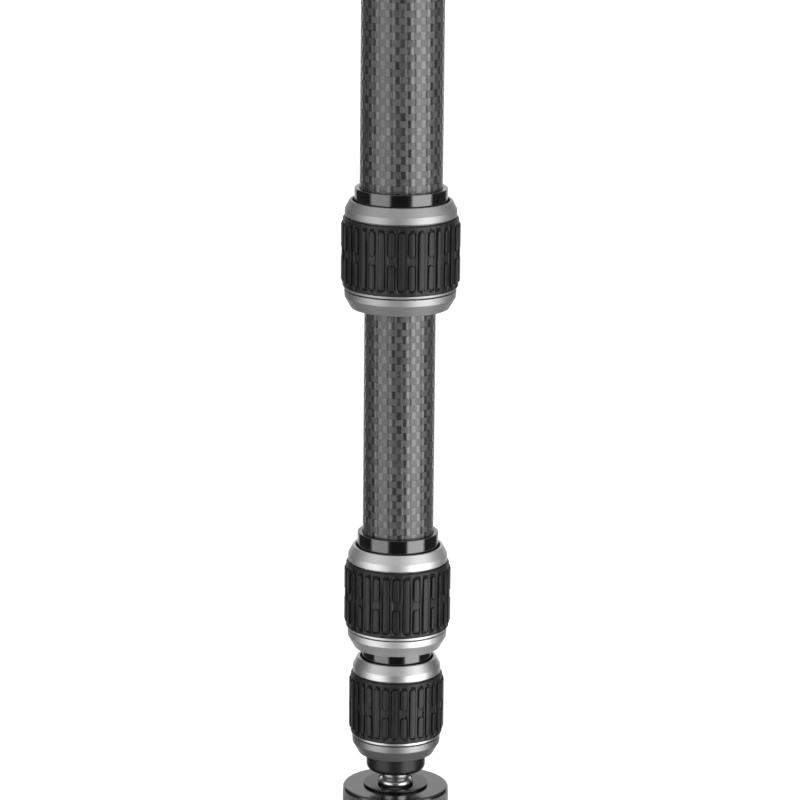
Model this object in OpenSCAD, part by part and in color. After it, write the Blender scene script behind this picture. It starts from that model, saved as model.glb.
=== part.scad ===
// Camera monopod: four telescoping tubes with twist locks, a foam grip and a camera
// platform, on a ball joint and three fold-out legs. Lengths are in millimetres.
// The pole stands on +Z and z = 0 is the floor under the feet. It is drawn with the
// second tube part way out and the two thinner tubes pushed in.

/* [Tubes] */
// Outside diameter of the top tube
tube_1_d = 26; // [25.5:0.1:27]
// Drop in diameter from each tube to the next
tube_step = 3.5; // [3.4:0.02:3.7]
// Wall thickness of every tube
tube_wall = 1.2; // [1.1:0.02:1.3]
// Length of each sliding tube
slide_tube_len = 390; // [370:1:420]
// Height of a tube's lower end over the lower end of its lock
tube_seat_h = 16.8; // [16:0.1:18]
// Length of the guide shims on top of each sliding tube
shim_len = 25; // [15:1:35]
// Gap between the two half shells of a shim pair
shim_split = 3; // [2:0.5:5]
// Length of tube that the second section stands out at rest
rest_extension = 73; // [20:1:200]
// Free height over the nested tubes under the head's spigot
nest_gap = 8; // [4:1:20]

/* [Lock bodies] */
// Wall of the black collar bonded round each tube's lower end
collar_wall = 1.65; // [1.5:0.05:1.8]
// Height of the collar standing out of the first lock
collar_1_show = 3.9; // [3:0.1:6]
// Height of the collar standing out of the second lock
collar_2_show = 4.4; // [3:0.1:6]
// Height of the collar standing out of the third lock
collar_3_show = 3.2; // [3:0.1:6]
// Height of the collar's lower end over the lock's lower end
collar_low_h = 11; // [10.9:0.05:11.5]
// Height of the collar's inner shoulder under the tube
collar_shoulder_h = 2; // [1.5:0.1:2.5]
// Radius of the twist sleeve's rim over the tube
rim_over = 3.1; // [3:0.05:3.4]
// Clearance round the collar in the sleeve's mouth
mouth_gap = 0.6; // [0.4:0.05:0.7]
// Depth of the sleeve's mouth
mouth_depth = 2.4; // [1.5:0.1:4]
// Height of the sleeve's cone
cone_h = 2.8; // [2:0.1:4]
// Radius of the sleeve's shoulder over the tube
shoulder_over = 4.6; // [4.4:0.05:4.8]
// Height of the sleeve's shoulder
shoulder_h = 2.1; // [1.5:0.1:3]
// Wall of the sleeve's core outside the collar
core_wall = 1.95; // [1.8:0.05:2.1]
// Height of the thin band under the grip
band_h = 0.8; // [0.5:0.1:1.5]
// Height of the groove under the band
groove_h = 0.35; // [0.2:0.05:0.6]
// Radius of the end ring over the tube
ring_over = 4.65; // [4.4:0.05:4.8]
// Height of the end ring's straight side
ring_h = 2.1; // [1.5:0.1:3]
// Height of the end ring's chamfer
chamfer_h = 3.5; // [3:0.1:4.2]
// Width of the end ring's chamfer
chamfer_w = 2; // [1.8:0.1:2.4]
// Height of the end ring's spigot inside the sleeve
spigot_h = 4.6; // [4:0.1:4.8]
// Radial room round the tube in the end ring's lip
lip_gap = 0.5; // [0.3:0.05:0.7]
// Height of the end ring's lip
lip_h = 1.2; // [0.8:0.1:1.6]
// Radial thickness of the dust seal
seal_w = 1.5; // [1.2:0.05:1.6]
// Height of the dust seal
seal_h = 2.4; // [1.8:0.1:2.6]
// Thickness of the split collet
collet_w = 2; // [1.8:0.05:2.1]
// Drop in thickness along the collet's taper
collet_taper = 0.7; // [0.4:0.05:0.9]
// Width of the collet's slit
collet_slit = 1.6; // [1:0.1:3]

/* [Lock grips] */
// Height of the first lock's rubber grip
grip_1_h = 22.1; // [18:0.1:26]
// Height of the second lock's rubber grip
grip_2_h = 21.4; // [18:0.1:26]
// Height of the third lock's rubber grip
grip_3_h = 20; // [18:0.1:26]
// Open groove over each rubber grip
grip_gap = 0.45; // [0.3:0.05:0.8]
// Thickness of the rubber over the sleeve's core
grip_wall = 1.5; // [1.3:0.05:1.7]
// Bevel of the rubber's edges
grip_bevel = 0.5; // [0.3:0.05:0.8]
// Height of the ribs over the rubber
rib_proud = 0.6; // [0.4:0.05:0.8]
// Width of the ribs
rib_w = 1.9; // [1.6:0.05:2.1]
// Bare rubber past the ends of the ribs
rib_margin = 1.9; // [1.2:0.1:2.5]
// Gap between the upper and the lower short rib
rib_split = 2.6; // [2:0.1:4]
// Number of rib pairs round the first grip
rib_1_count = 18; // [14:1:18]
// Number of rib pairs round the other grips
rib_2_count = 16; // [12:1:16]
// Angle of the first grip's long ribs from the front
rib_1_turn = 1; // [0:0.5:10]
// Angle of the second grip's long ribs from the front
rib_2_turn = 10.2; // [0:0.1:22]
// Angle of the third grip's long ribs from the front
rib_3_turn = 20.6; // [0:0.1:22]

/* [Head] */
// Length of the foam grip
foam_len = 150; // [100:1:200]
// Thickness of the foam
foam_wall = 4; // [3:0.5:6]
// Height of the ring under the foam
trim_h = 5; // [3:0.5:8]
// Depth of the head's spigot in the top tube
head_spigot_len = 15; // [12:1:20]
// Height of the head over the tube
head_h = 24; // [20:1:30]
// Diameter of the camera platform
platform_d = 47; // [44:1:52]
// Thickness of the platform's rim
platform_rim_h = 6; // [5:0.5:8]
// Diameter of the rubber pad
pad_d = 30; // [26:1:31]
// Thickness of the rubber pad
pad_h = 1.6; // [1.2:0.1:2]
// Depth of the pad's seat in the platform
pad_seat = 0.8; // [0.5:0.1:1]
// Diameter of the camera screw's thread
screw_d = 9.525; // [6.35:0.005:9.525]
// Length of the screw over the pad
screw_len = 10; // [8:0.5:12]
// Diameter of the screw's flange inside the head
screw_flange_d = 14; // [13:0.5:15]
// Height of the screw's flange
screw_flange_h = 3; // [2:0.5:4]
// Diameter of the set screws that lock a camera head
set_screw_d = 3; // [2.5:0.5:4]
// Length of the set screws
set_screw_len = 7; // [5:0.5:8]
// Diameter of the hole in the strap lug
lug_hole_d = 3.5; // [3:0.1:5]

/* [Ball joint] */
// Height of the foot cap on the lowest tube
cap_h = 5.8; // [5:0.1:8]
// Wall of the foot cap outside the lowest tube
cap_wall = 1.7; // [1.5:0.1:2]
// Thickness of the foot cap's floor
cap_floor = 2; // [1.8:0.1:3]
// Depth of the cap's plug inside the lowest tube
plug_len = 10; // [6:1:20]
// Height of the foot cap over the base collar
cap_lift = 5.3; // [5.2:0.1:8]
// Diameter of the ball
ball_d = 20; // [19.5:0.1:20.4]
// Depth of the ball's centre under the base collar's top
ball_depth = 11; // [10.8:0.1:11.5]
// Diameter of the stud's neck
neck_d = 8; // [7:0.1:8.4]
// Diameter of the bead on the stud
bead_d = 10.7; // [10:0.1:11]
// Height of the bead's widest line over the base collar
bead_lift = 1; // [0.8:0.1:1.4]
// Diameter of the stud's threaded tang
tang_d = 7; // [6:0.5:8]
// Diameter of the slotted washer
washer_d = 20.7; // [20.5:0.1:22]
// Thickness of the slotted washer
washer_h = 0.65; // [0.5:0.05:1]
// Width of the washer's slot
slot_w = 11.4; // [11.2:0.1:12]
// Length of the washer's slot
slot_len = 18.4; // [18:0.1:18.8]

/* [Base] */
// Diameter of the knurled base collar
base_collar_d = 34; // [33:0.5:36]
// Height of the knurled base collar
base_collar_h = 24; // [23:0.5:26]
// Radius of the base collar's top edge
base_collar_edge = 0.9; // [0.6:0.1:2]
// Thickness of the base collar's lip
base_lip_h = 4; // [3.5:0.1:4.2]
// Diameter of the opening in the base collar
base_mouth_d = 19.2; // [19:0.1:19.6]
// Number of teeth in the knurl
knurl_count = 132; // [80:1:140]
// Depth of the knurl
knurl_depth = 0.35; // [0.2:0.05:0.5]
// Wall of the plastic ball seats beside the ball
seat_wall = 1.54; // [1.4:0.02:1.8]
// Wall of the socket housing
housing_wall = 1.8; // [1.6:0.1:2]
// Thickness of the socket housing's floor
housing_floor = 3.5; // [3:0.1:3.6]
// Diameter of the base hub
hub_d = 44; // [42:0.5:50]
// Height of the hub's underside over the floor
hub_lift = 13; // [12:0.5:14]
// Thickness of the hub's top plate over the legs
hub_plate_h = 5.7; // [5.5:0.1:7]
// Gap between the hub and the base collar
collar_gap = 1; // [0.5:0.1:2]
// Diameter of the screw through the hub
hub_screw_d = 6; // [5:0.5:7]
// Diameter of the hub screw's head
hub_screw_head_d = 10.8; // [10:0.1:12]
// Height of the hub screw's head
hub_screw_head_h = 3.4; // [3:0.1:4]
// Diameter of the rubber pad under the hub
hub_pad_d = 16.8; // [16:0.1:18]
// Thickness of the rubber pad under the hub
hub_pad_h = 2; // [1.5:0.1:3]

/* [Legs] */
// Distance of the foot's centre from the pole axis
foot_radius = 172; // [150:1:200]
// Width of a leg
leg_w = 14; // [12:0.5:14.5]
// Distance of the leg pivots from the pole axis
pivot_radius = 15; // [14.8:0.1:16]
// Height of the leg pivots over the floor
pivot_z = 22; // [21.8:0.1:24]
// Radius of the leg's rounded end round its pin
lug_r = 5; // [4.8:0.1:5.1]
// Diameter of the pivot pins
pin_d = 4; // [3:0.5:5]
// Thickness of a leg over its foot
leg_tip_h = 6; // [5:0.5:8]
// Side room of a leg in its slot
leg_side_gap = 0.2; // [0.1:0.05:0.3]
// Diameter of a rubber foot
foot_d = 14; // [12:0.5:16]
// Height of a rubber foot
foot_h = 5; // [4:0.5:7]
// Diameter of a foot screw's shank
foot_screw_d = 3; // [2.5:0.5:4]
// Diameter of the detent plungers over the legs
detent_d = 3.2; // [2.5:0.1:4]

/* [Clearances] */
// Radial running clearance of sliding and turning fits
run_gap = 0.08; // [0.05:0.01:0.1]
// Radial gap of bonded and screwed fits
bond_gap = 0.04; // [0.02:0.01:0.08]
// Gap left where one piece stops against another
stop_gap = 0.3; // [0.1:0.05:0.4]

/* [Hidden] */

smooth = 96;
carbon = "dimgray";
silver = "silver";
black = [0.12, 0.12, 0.13];
rubber = [0.2, 0.2, 0.2];
leg_turns = [90, 210, 330];

// Radii of tube n, from 1 at the top to 4 at the bottom
function tube_r(n) = tube_1_d / 2 - (n - 1) * tube_step / 2;
function bore_r(n) = tube_r(n) - tube_wall;

// Sizes of lock n, which clamps tube n + 1 under tube n
function grip_h(n) = [grip_1_h, grip_2_h, grip_3_h][n - 1];
function collar_show(n) = [collar_1_show, collar_2_show, collar_3_show][n - 1];
function collar_r(n) = tube_r(n) + collar_wall;
function core_r(n) = collar_r(n) + core_wall;
function grip_r(n) = core_r(n) + grip_wall;
ring_top_h = chamfer_h + ring_h;
band_low_h = ring_top_h + groove_h;
grip_low_h = band_low_h + band_h;
spigot_top_h = ring_top_h + spigot_h;
seal_pocket_h = lip_h + seal_h + stop_gap / 3;
function shoulder_low_h(n) = grip_low_h + grip_h(n) + grip_gap;
function rim_h(n) = shoulder_low_h(n) + shoulder_h + cone_h;
function lock_h(n) = rim_h(n) + collar_show(n);
// Outer radius of the end ring's spigot
function spigot_r(n) = collar_r(n) + stop_gap;

// Heights from the floor up
hub_roof_z = pivot_z + lug_r + stop_gap;
hub_top_z = hub_roof_z + hub_plate_h;
base_collar_top = hub_top_z + collar_gap + base_collar_h;
ball_z = base_collar_top - ball_depth;
cap_z = base_collar_top + cap_lift;
lock_3_z = cap_z + cap_h + stop_gap;
lock_2_z = lock_3_z + lock_h(3) + stop_gap;
lock_1_z = lock_2_z + lock_h(2) + rest_extension;
function lock_z(n) = [lock_1_z, lock_2_z, lock_3_z][n - 1];
tube_1_len = slide_tube_len - lock_h(2) + nest_gap + head_spigot_len;
tube_1_top = lock_1_z + tube_seat_h + tube_1_len;
platform_z = tube_1_top + head_h;
pad_top_z = platform_z - pad_seat + pad_h;
tube_1_z = lock_1_z + tube_seat_h;
tube_2_z = lock_2_z + tube_seat_h;
tube_3_z = lock_3_z + tube_seat_h;
tube_4_z = cap_z + cap_floor + stop_gap / 3;

// Ball socket, from the ball outwards and from the hub up
seat_outer_r = ball_d / 2 + run_gap + seat_wall;
housing_bore_r = seat_outer_r + run_gap;
housing_d = 2 * (housing_bore_r + housing_wall);
upper_seat_top = base_collar_top - base_lip_h - stop_gap / 2;
seat_part_above = 1.6;
seat_part_below = 3;
spring_z = hub_top_z + housing_floor;
spring_stack_h = 1.8;
lower_seat_z = spring_z + spring_stack_h + stop_gap / 3;

// Head and strap lug
set_screw_radius = (pad_d + platform_d) / 4;
flange_roof_h = 5;
lug_turn = 150;
lug_shank_d = 2.4;
lug_shank_len = 2.6;
lug_plate_h = 3;
lug_rim = 1.8;

// Hub and feet
detent_h = 4.6;
hub_bore_depth = hub_pad_h / 2 + hub_screw_head_h + stop_gap / 3;
foot_head_r = 3;
foot_head_h = 2;
foot_head_z = 1;

// Revolved solid from [radius, height] points
module turned(points, z = 0) {
    translate([0, 0, z])
        rotate_extrude($fn = smooth)
            polygon(points);
}

// Plain round tube
module sleeve(outer_r, inner_r, height, z = 0) {
    turned([[inner_r, 0], [outer_r, 0], [outer_r, height], [inner_r, height]], z);
}

// Points of an arc about a centre in the [radius, height] plane
function arc(centre, r, from, to, steps) = [
    for (i = [0:steps])
        let(a = from + (to - from) * i / steps)
        [centre[0] + r * cos(a), centre[1] + r * sin(a)]
];

module tube_body(n, z, length) {
    color(carbon)
        sleeve(tube_r(n), bore_r(n), length, z);
}

// Two half shells that guide tube n in the bore of the tube outside it
module shims(n, tube_top) {
    color("ivory")
        difference() {
            sleeve(bore_r(n - 1) - run_gap, tube_r(n) + bond_gap, shim_len, tube_top - shim_len);
            translate([-shim_split / 2, -tube_r(1), tube_top - shim_len - 1])
                cube([shim_split, 2 * tube_r(1), shim_len + 2]);
        }
}

// Collar bonded round the lower end of tube n, with a taper that closes the collet
module lock_collar(n) {
    shoulder_low = tube_seat_h - collar_shoulder_h;
    taper_r = tube_r(n + 1) + collet_w + bond_gap + run_gap;
    edge = 0.4;
    color(black)
        turned([
            [taper_r, collar_low_h],
            [collar_r(n), collar_low_h],
            [collar_r(n), lock_h(n) - edge],
            [collar_r(n) - edge, lock_h(n)],
            [tube_r(n) + bond_gap, lock_h(n)],
            [tube_r(n) + bond_gap, tube_seat_h],
            [tube_r(n + 1) + stop_gap, tube_seat_h],
            [tube_r(n + 1) + stop_gap, shoulder_low],
            [taper_r - collet_taper, shoulder_low]
        ], lock_z(n));
}

// Split tapered ring that grips tube n + 1
module lock_collet(n) {
    low = seal_pocket_h + stop_gap / 3;
    high = tube_seat_h - collar_shoulder_h - stop_gap / 3;
    inner = tube_r(n + 1) + run_gap;
    outer = tube_r(n + 1) + collet_w;
    color("ivory")
        translate([0, 0, lock_z(n)])
            difference() {
                turned([
                    [inner, low],
                    [outer, low],
                    [outer, collar_low_h],
                    [outer - collet_taper, high],
                    [inner, high]
                ]);
                translate([-collet_slit / 2, 0, 0])
                    cube([collet_slit, 2 * outer, tube_seat_h]);
            }
}

// Threaded sleeve that is turned to close lock n: cone, shoulder, core and thin band
module lock_sleeve(n) {
    mouth_r = collar_r(n) + mouth_gap;
    rim_r = tube_r(n) + rim_over;
    rim_edge = 0.25;
    color(silver)
        turned([
            [spigot_r(n) + bond_gap, band_low_h],
            [tube_r(n) + ring_over, band_low_h],
            [tube_r(n) + ring_over, grip_low_h],
            [core_r(n), grip_low_h],
            [core_r(n), shoulder_low_h(n)],
            [tube_r(n) + shoulder_over, shoulder_low_h(n)],
            [tube_r(n) + ring_over, shoulder_low_h(n) + shoulder_h],
            [rim_r, rim_h(n) - rim_edge],
            [rim_r - rim_edge, rim_h(n)],
            [mouth_r, rim_h(n)],
            [mouth_r, rim_h(n) - mouth_depth],
            [collar_r(n) + run_gap, rim_h(n) - mouth_depth],
            [collar_r(n) + run_gap, spigot_top_h + stop_gap],
            [spigot_r(n) + bond_gap, spigot_top_h + stop_gap]
        ], lock_z(n));
}

// Chamfered ring screwed into the lower end of the sleeve
module lock_end_ring(n) {
    seal_r = tube_r(n + 1) + run_gap + seal_w + bond_gap;
    seat_r = tube_r(n + 1) + collet_w + stop_gap;
    ring_r = tube_r(n) + ring_over;
    lean = 0.15;
    color(silver)
        turned([
            [tube_r(n + 1) + lip_gap, 0],
            [ring_r - lean - chamfer_w, 0],
            [ring_r - lean, chamfer_h],
            [ring_r, ring_top_h],
            [spigot_r(n), ring_top_h],
            [spigot_r(n), spigot_top_h],
            [seat_r, spigot_top_h],
            [seat_r, seal_pocket_h],
            [seal_r, seal_pocket_h],
            [seal_r, lip_h],
            [tube_r(n + 1) + lip_gap, lip_h]
        ], lock_z(n));
}

module lock_seal(n) {
    inner = tube_r(n + 1) + run_gap;
    color(rubber)
        sleeve(inner + seal_w, inner, seal_h, lock_z(n) + lip_h);
}

// Rubber ring with pill-shaped ribs: long ones alternate with stacked short pairs
module lock_grip(n, count, turn) {
    low = grip_low_h;
    high = grip_low_h + grip_h(n);
    r = grip_r(n);
    inner = core_r(n) + bond_gap;
    long = grip_h(n) - 2 * rib_margin;
    short = (long - rib_split) / 2;
    color(rubber)
        translate([0, 0, lock_z(n)])
            union() {
                turned([
                    [inner, low],
                    [r - grip_bevel, low],
                    [r, low + grip_bevel],
                    [r, high - grip_bevel],
                    [r - grip_bevel, high],
                    [inner, high]
                ]);
                for (i = [0:count - 1]) {
                    a = turn + i * 360 / count - 90;
                    rib(r, a, low + rib_margin, long);
                    rib(r, a + 180 / count, low + rib_margin, short);
                    rib(r, a + 180 / count, high - rib_margin - short, short);
                }
            }
}

// One upright pill standing on the rubber at an angle round the axis
module rib(r, angle, low, length) {
    sink = 0.5;
    rotate([0, 0, angle])
        translate([r - sink, 0, low])
            rotate([90, 0, 90])
                linear_extrude(height = rib_proud + sink)
                    pill(rib_w, length);
}

// Flat outline with round ends, upright on its lower end
module pill(width, length) {
    translate([0, width / 2])
        circle(d = width, $fn = 24);
    translate([-width / 2, width / 2])
        square([width, length - width]);
    translate([0, length - width / 2])
        circle(d = width, $fn = 24);
}

module foam_grip() {
    r = tube_r(1) + foam_wall;
    edge = 1.5;
    inner = tube_r(1) + bond_gap;
    outline = concat(
        [[inner, 0]],
        arc([r - edge, edge], edge, -90, 0, 4),
        arc([r - edge, foam_len - edge], edge, 0, 90, 4),
        [[inner, foam_len]]
    );
    color(black)
        turned(outline, tube_1_top - foam_len);
}

module grip_trim_ring() {
    r = tube_r(1) + foam_wall - 0.5;
    edge = 0.5;
    inner = tube_r(1) + bond_gap;
    color(silver)
        turned([
            [inner, 0],
            [r - 2 * edge, 0],
            [r, 2 * edge],
            [r, trim_h - edge],
            [r - edge, trim_h],
            [inner, trim_h]
        ], tube_1_top - foam_len - trim_h);
}

// Head with a spigot in the top tube and a flat platform for the camera
module head_casting() {
    neck_r = tube_r(1) + foam_wall;
    spigot_top = head_spigot_len;
    rim_low = spigot_top + head_h - platform_rim_h;
    top = spigot_top + head_h;
    rim_edge = 0.8;
    pocket_r = screw_flange_d / 2 + stop_gap;
    roof = top - pad_seat - flange_roof_h;
    color(black)
        translate([0, 0, tube_1_top - head_spigot_len])
            difference() {
                turned([
                    [pocket_r, 0],
                    [bore_r(1) - bond_gap, 0],
                    [bore_r(1) - bond_gap, spigot_top],
                    [neck_r, spigot_top],
                    [neck_r, spigot_top + 3],
                    [neck_r - 2, spigot_top + 8],
                    [platform_d / 2, rim_low],
                    [platform_d / 2, top - rim_edge],
                    [platform_d / 2 - rim_edge, top],
                    [pad_d / 2 + bond_gap, top],
                    [pad_d / 2 + bond_gap, top - pad_seat],
                    [screw_d / 2 + bond_gap, top - pad_seat],
                    [screw_d / 2 + bond_gap, roof],
                    [pocket_r, roof]
                ]);
                for (turn = leg_turns)
                    rotate([0, 0, turn])
                        translate([set_screw_radius, 0, top - set_screw_len - stop_gap])
                            cylinder(d = set_screw_d + 2 * bond_gap, h = set_screw_len + 1, $fn = 32);
                rotate([0, 0, lug_turn])
                    translate([platform_d / 2 - lug_shank_len, 0, rim_low + platform_rim_h / 2])
                        rotate([0, 90, 0])
                            cylinder(d = lug_shank_d + 2 * bond_gap, h = lug_shank_len + 1, $fn = 32);
            }
}

module platform_pad() {
    color(rubber)
        sleeve(pad_d / 2, screw_d / 2 + bond_gap, pad_h, platform_z - pad_seat);
}

// Stud that screws into the camera, held by a flange under the platform
module camera_screw() {
    flange_top = platform_z - pad_seat - flange_roof_h - stop_gap / 3;
    tip = 1;
    relief = 0.5;
    color("gainsboro")
        turned([
            [0, flange_top - screw_flange_h],
            [screw_flange_d / 2, flange_top - screw_flange_h],
            [screw_flange_d / 2, flange_top],
            [screw_d / 2 - relief, flange_top],
            [screw_d / 2 - relief, pad_top_z + relief],
            [screw_d / 2, pad_top_z + relief],
            [screw_d / 2, pad_top_z + screw_len - tip],
            [screw_d / 2 - tip, pad_top_z + screw_len],
            [0, pad_top_z + screw_len]
        ]);
}

module head_set_screws() {
    socket = set_screw_d / 2;
    color("gray")
        for (turn = leg_turns)
            rotate([0, 0, turn])
                translate([set_screw_radius, 0, platform_z - set_screw_len])
                    difference() {
                        cylinder(d = set_screw_d, h = set_screw_len, $fn = 32);
                        translate([0, 0, set_screw_len - socket])
                            cylinder(d = socket, h = socket + 1, $fn = 6);
                    }
}

// Eye on the head's rim for a strap
module strap_lug() {
    eye_r = lug_hole_d / 2 + lug_rim;
    eye_x = eye_r + stop_gap;
    color(silver)
        rotate([0, 0, lug_turn])
            translate([platform_d / 2, 0, platform_z - platform_rim_h / 2])
                difference() {
                    union() {
                        translate([-lug_shank_len + stop_gap, 0, 0])
                            rotate([0, 90, 0])
                                cylinder(d = lug_shank_d, h = lug_shank_len + 1, $fn = 32);
                        translate([eye_x, 0, -lug_plate_h / 2])
                            cylinder(r = eye_r, h = lug_plate_h, $fn = 48);
                    }
                    translate([eye_x, 0, -lug_plate_h])
                        cylinder(d = lug_hole_d, h = 2 * lug_plate_h, $fn = 32);
                }
}

// Cap on the lowest tube, with a plug inside the tube for the stud's thread
module foot_cap() {
    r = tube_r(4) + cap_wall;
    edge = 2;
    color(black)
        turned(concat(
            [[tang_d / 2 + bond_gap, 0]],
            arc([r - edge, edge], edge, -90, 0, 4),
            [
                [r, cap_h],
                [tube_r(4) + bond_gap, cap_h],
                [tube_r(4) + bond_gap, cap_floor],
                [bore_r(4) - bond_gap, cap_floor],
                [bore_r(4) - bond_gap, cap_floor + plug_len],
                [tang_d / 2 + bond_gap, cap_floor + plug_len]
            ]
        ), cap_z);
}

// Ball, neck, bead, shank and threaded tang in one turned piece
module ball_stud() {
    ball_r = ball_d / 2;
    neck_r = neck_d / 2;
    bead_r = bead_d / 2;
    bead_half = 1.6;
    bead_z = ball_depth + bead_lift;
    shank_r = bead_r - 0.45;
    groove = 0.5;
    neck_angle = acos(neck_r / ball_r);
    tang_top = ball_depth + cap_lift + cap_floor + plug_len - stop_gap;
    color("gainsboro")
        turned(concat(
            arc([0, 0], ball_r, -90, neck_angle, 24),
            [[neck_r, bead_z - bead_half]],
            arc([bead_r - bead_half, bead_z], bead_half, -70, 70, 6),
            [
                [shank_r - groove, bead_z + bead_half],
                [shank_r - groove, bead_z + bead_half + groove],
                [shank_r, bead_z + bead_half + groove],
                [shank_r, ball_depth + cap_lift],
                [tang_d / 2, ball_depth + cap_lift],
                [tang_d / 2, tang_top],
                [0, tang_top]
            ]
        ), ball_z);
}

module slotted_washer() {
    washer_gap = stop_gap / 3;
    color(black)
        translate([0, 0, base_collar_top + washer_gap])
            difference() {
                cylinder(d = washer_d, h = washer_h, $fn = smooth);
                translate([0, 0, -1])
                    linear_extrude(height = washer_h + 2)
                        translate([0, -slot_len / 2])
                            pill(slot_w, slot_len);
            }
}

// Knurled collar screwed over the socket housing, whose lip presses the upper seat
module ball_lock_ring() {
    r = base_collar_d / 2;
    bore = housing_d / 2 + run_gap;
    low_edge = 0.6;
    tip_inset = 0.05;
    knurl_top = base_collar_h - base_collar_edge;
    color(black)
        translate([0, 0, base_collar_top - base_collar_h])
            difference() {
                union() {
                    turned([[0, 0], [r - low_edge, 0], [r, low_edge], [0, low_edge]]);
                    translate([0, 0, low_edge])
                        linear_extrude(height = knurl_top - low_edge)
                            polygon([
                                for (i = [0:2 * knurl_count - 1])
                                    let(tooth_r = r - tip_inset - (i % 2) * knurl_depth)
                                    [tooth_r * cos(i * 180 / knurl_count), tooth_r * sin(i * 180 / knurl_count)]
                            ]);
                    turned(concat(
                        [[0, knurl_top]],
                        arc([r - base_collar_edge, knurl_top], base_collar_edge, 0, 90, 5),
                        [[0, base_collar_h]]
                    ));
                }
                translate([0, 0, -1])
                    cylinder(r = bore, h = base_collar_h - base_lip_h + 1, $fn = smooth);
                cylinder(d = base_mouth_d, h = base_collar_h + 1, $fn = smooth);
            }
}

module socket_housing() {
    below_seat_top = 1.3;
    wall_top = upper_seat_top - hub_top_z - below_seat_top;
    thread_r = hub_screw_d / 2 + bond_gap;
    color("gray")
        turned([
            [thread_r, 0],
            [housing_d / 2, 0],
            [housing_d / 2, wall_top],
            [housing_bore_r, wall_top],
            [housing_bore_r, housing_floor],
            [thread_r, housing_floor]
        ], hub_top_z);
}

// Plastic ring with a hollow that fits the ball
module ball_seat(low, high) {
    color("ivory")
        difference() {
            translate([0, 0, low])
                cylinder(r = seat_outer_r, h = high - low, $fn = smooth);
            translate([0, 0, ball_z])
                sphere(r = ball_d / 2 + run_gap, $fn = smooth);
        }
}

module lower_ball_seat() {
    ball_seat(lower_seat_z, ball_z - seat_part_below);
}

module upper_ball_seat() {
    ball_seat(ball_z + seat_part_above, upper_seat_top);
}

// Two disc springs back to back under the lower seat
module seat_springs() {
    inner = 5.4;
    thick = 0.5;
    rise = spring_stack_h / 2 - thick - stop_gap / 6;
    outer = seat_outer_r - stop_gap;
    color("gainsboro") {
        turned([[inner, rise], [outer, 0], [outer, thick], [inner, rise + thick]], spring_z);
        turned([[inner, 0], [outer, rise], [outer, rise + thick], [inner, thick]],
            spring_z + spring_stack_h - rise - thick);
    }
}

// Cast hub with three slots for the legs under a round plate
module base_hub() {
    r = hub_d / 2;
    edge = 1.5;
    slot_inner = pivot_radius - lug_r - stop_gap;
    slot_half = leg_w / 2 + leg_side_gap;
    slot_h = hub_roof_z - hub_lift;
    height = hub_top_z - hub_lift;
    color(black)
        difference() {
            turned([
                [hub_screw_d / 2 + bond_gap, hub_lift + hub_bore_depth],
                [hub_screw_head_d / 2 + bond_gap, hub_lift + hub_bore_depth],
                [hub_screw_head_d / 2 + bond_gap, hub_lift + hub_pad_h / 2],
                [hub_pad_d / 2 + bond_gap, hub_lift + hub_pad_h / 2],
                [hub_pad_d / 2 + bond_gap, hub_lift],
                [r - edge, hub_lift],
                [r, hub_lift + edge],
                [r, hub_lift + height - edge],
                [r - edge, hub_lift + height],
                [hub_screw_d / 2 + bond_gap, hub_lift + height]
            ]);
            for (turn = leg_turns)
                rotate([0, 0, turn]) {
                    translate([slot_inner, -slot_half, hub_lift - 1])
                        cube([r, 2 * slot_half, slot_h + 1]);
                    translate([pivot_radius, r, pivot_z])
                        rotate([90, 0, 0])
                            cylinder(d = pin_d + 2 * bond_gap, h = 2 * r, $fn = 32);
                    translate([pivot_radius, 0, hub_roof_z - 1])
                        cylinder(d = detent_d + 2 * bond_gap, h = detent_h + 1 + stop_gap / 3, $fn = 32);
                }
        }
}

module leg_pins() {
    sunk = 1.4;
    half = sqrt(pow(hub_d / 2, 2) - pow(pivot_radius, 2)) - sunk;
    color("gainsboro")
        for (turn = leg_turns)
            rotate([0, 0, turn])
                translate([pivot_radius, half, pivot_z])
                    rotate([90, 0, 0])
                        cylinder(d = pin_d, h = 2 * half, $fn = 32);
}

// Spring plungers that hold the legs where they are folded
module leg_detents() {
    r = detent_d / 2;
    tip = 0.6;
    color("goldenrod")
        for (turn = leg_turns)
            rotate([0, 0, turn])
                translate([pivot_radius, 0, hub_roof_z])
                    turned([[0, 0], [r - tip, 0], [r, tip], [r, detent_h], [0, detent_h]]);
}

module hub_screw() {
    head_low = hub_lift + hub_bore_depth - hub_screw_head_h;
    head_top = hub_lift + hub_bore_depth;
    socket_r = hub_screw_d / 3;
    color("gray")
        difference() {
            turned([
                [0, head_low],
                [hub_screw_head_d / 2, head_low],
                [hub_screw_head_d / 2, head_top],
                [hub_screw_d / 2, head_top],
                [hub_screw_d / 2, spring_z - stop_gap],
                [0, spring_z - stop_gap]
            ]);
            translate([0, 0, head_low - 1])
                cylinder(r = socket_r, h = 3, $fn = 6);
        }
}

module hub_bottom_pad() {
    color(rubber)
        translate([0, 0, hub_lift + hub_pad_h / 2 - hub_pad_h])
            cylinder(d = hub_pad_d, h = hub_pad_h, $fn = smooth);
}

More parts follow.
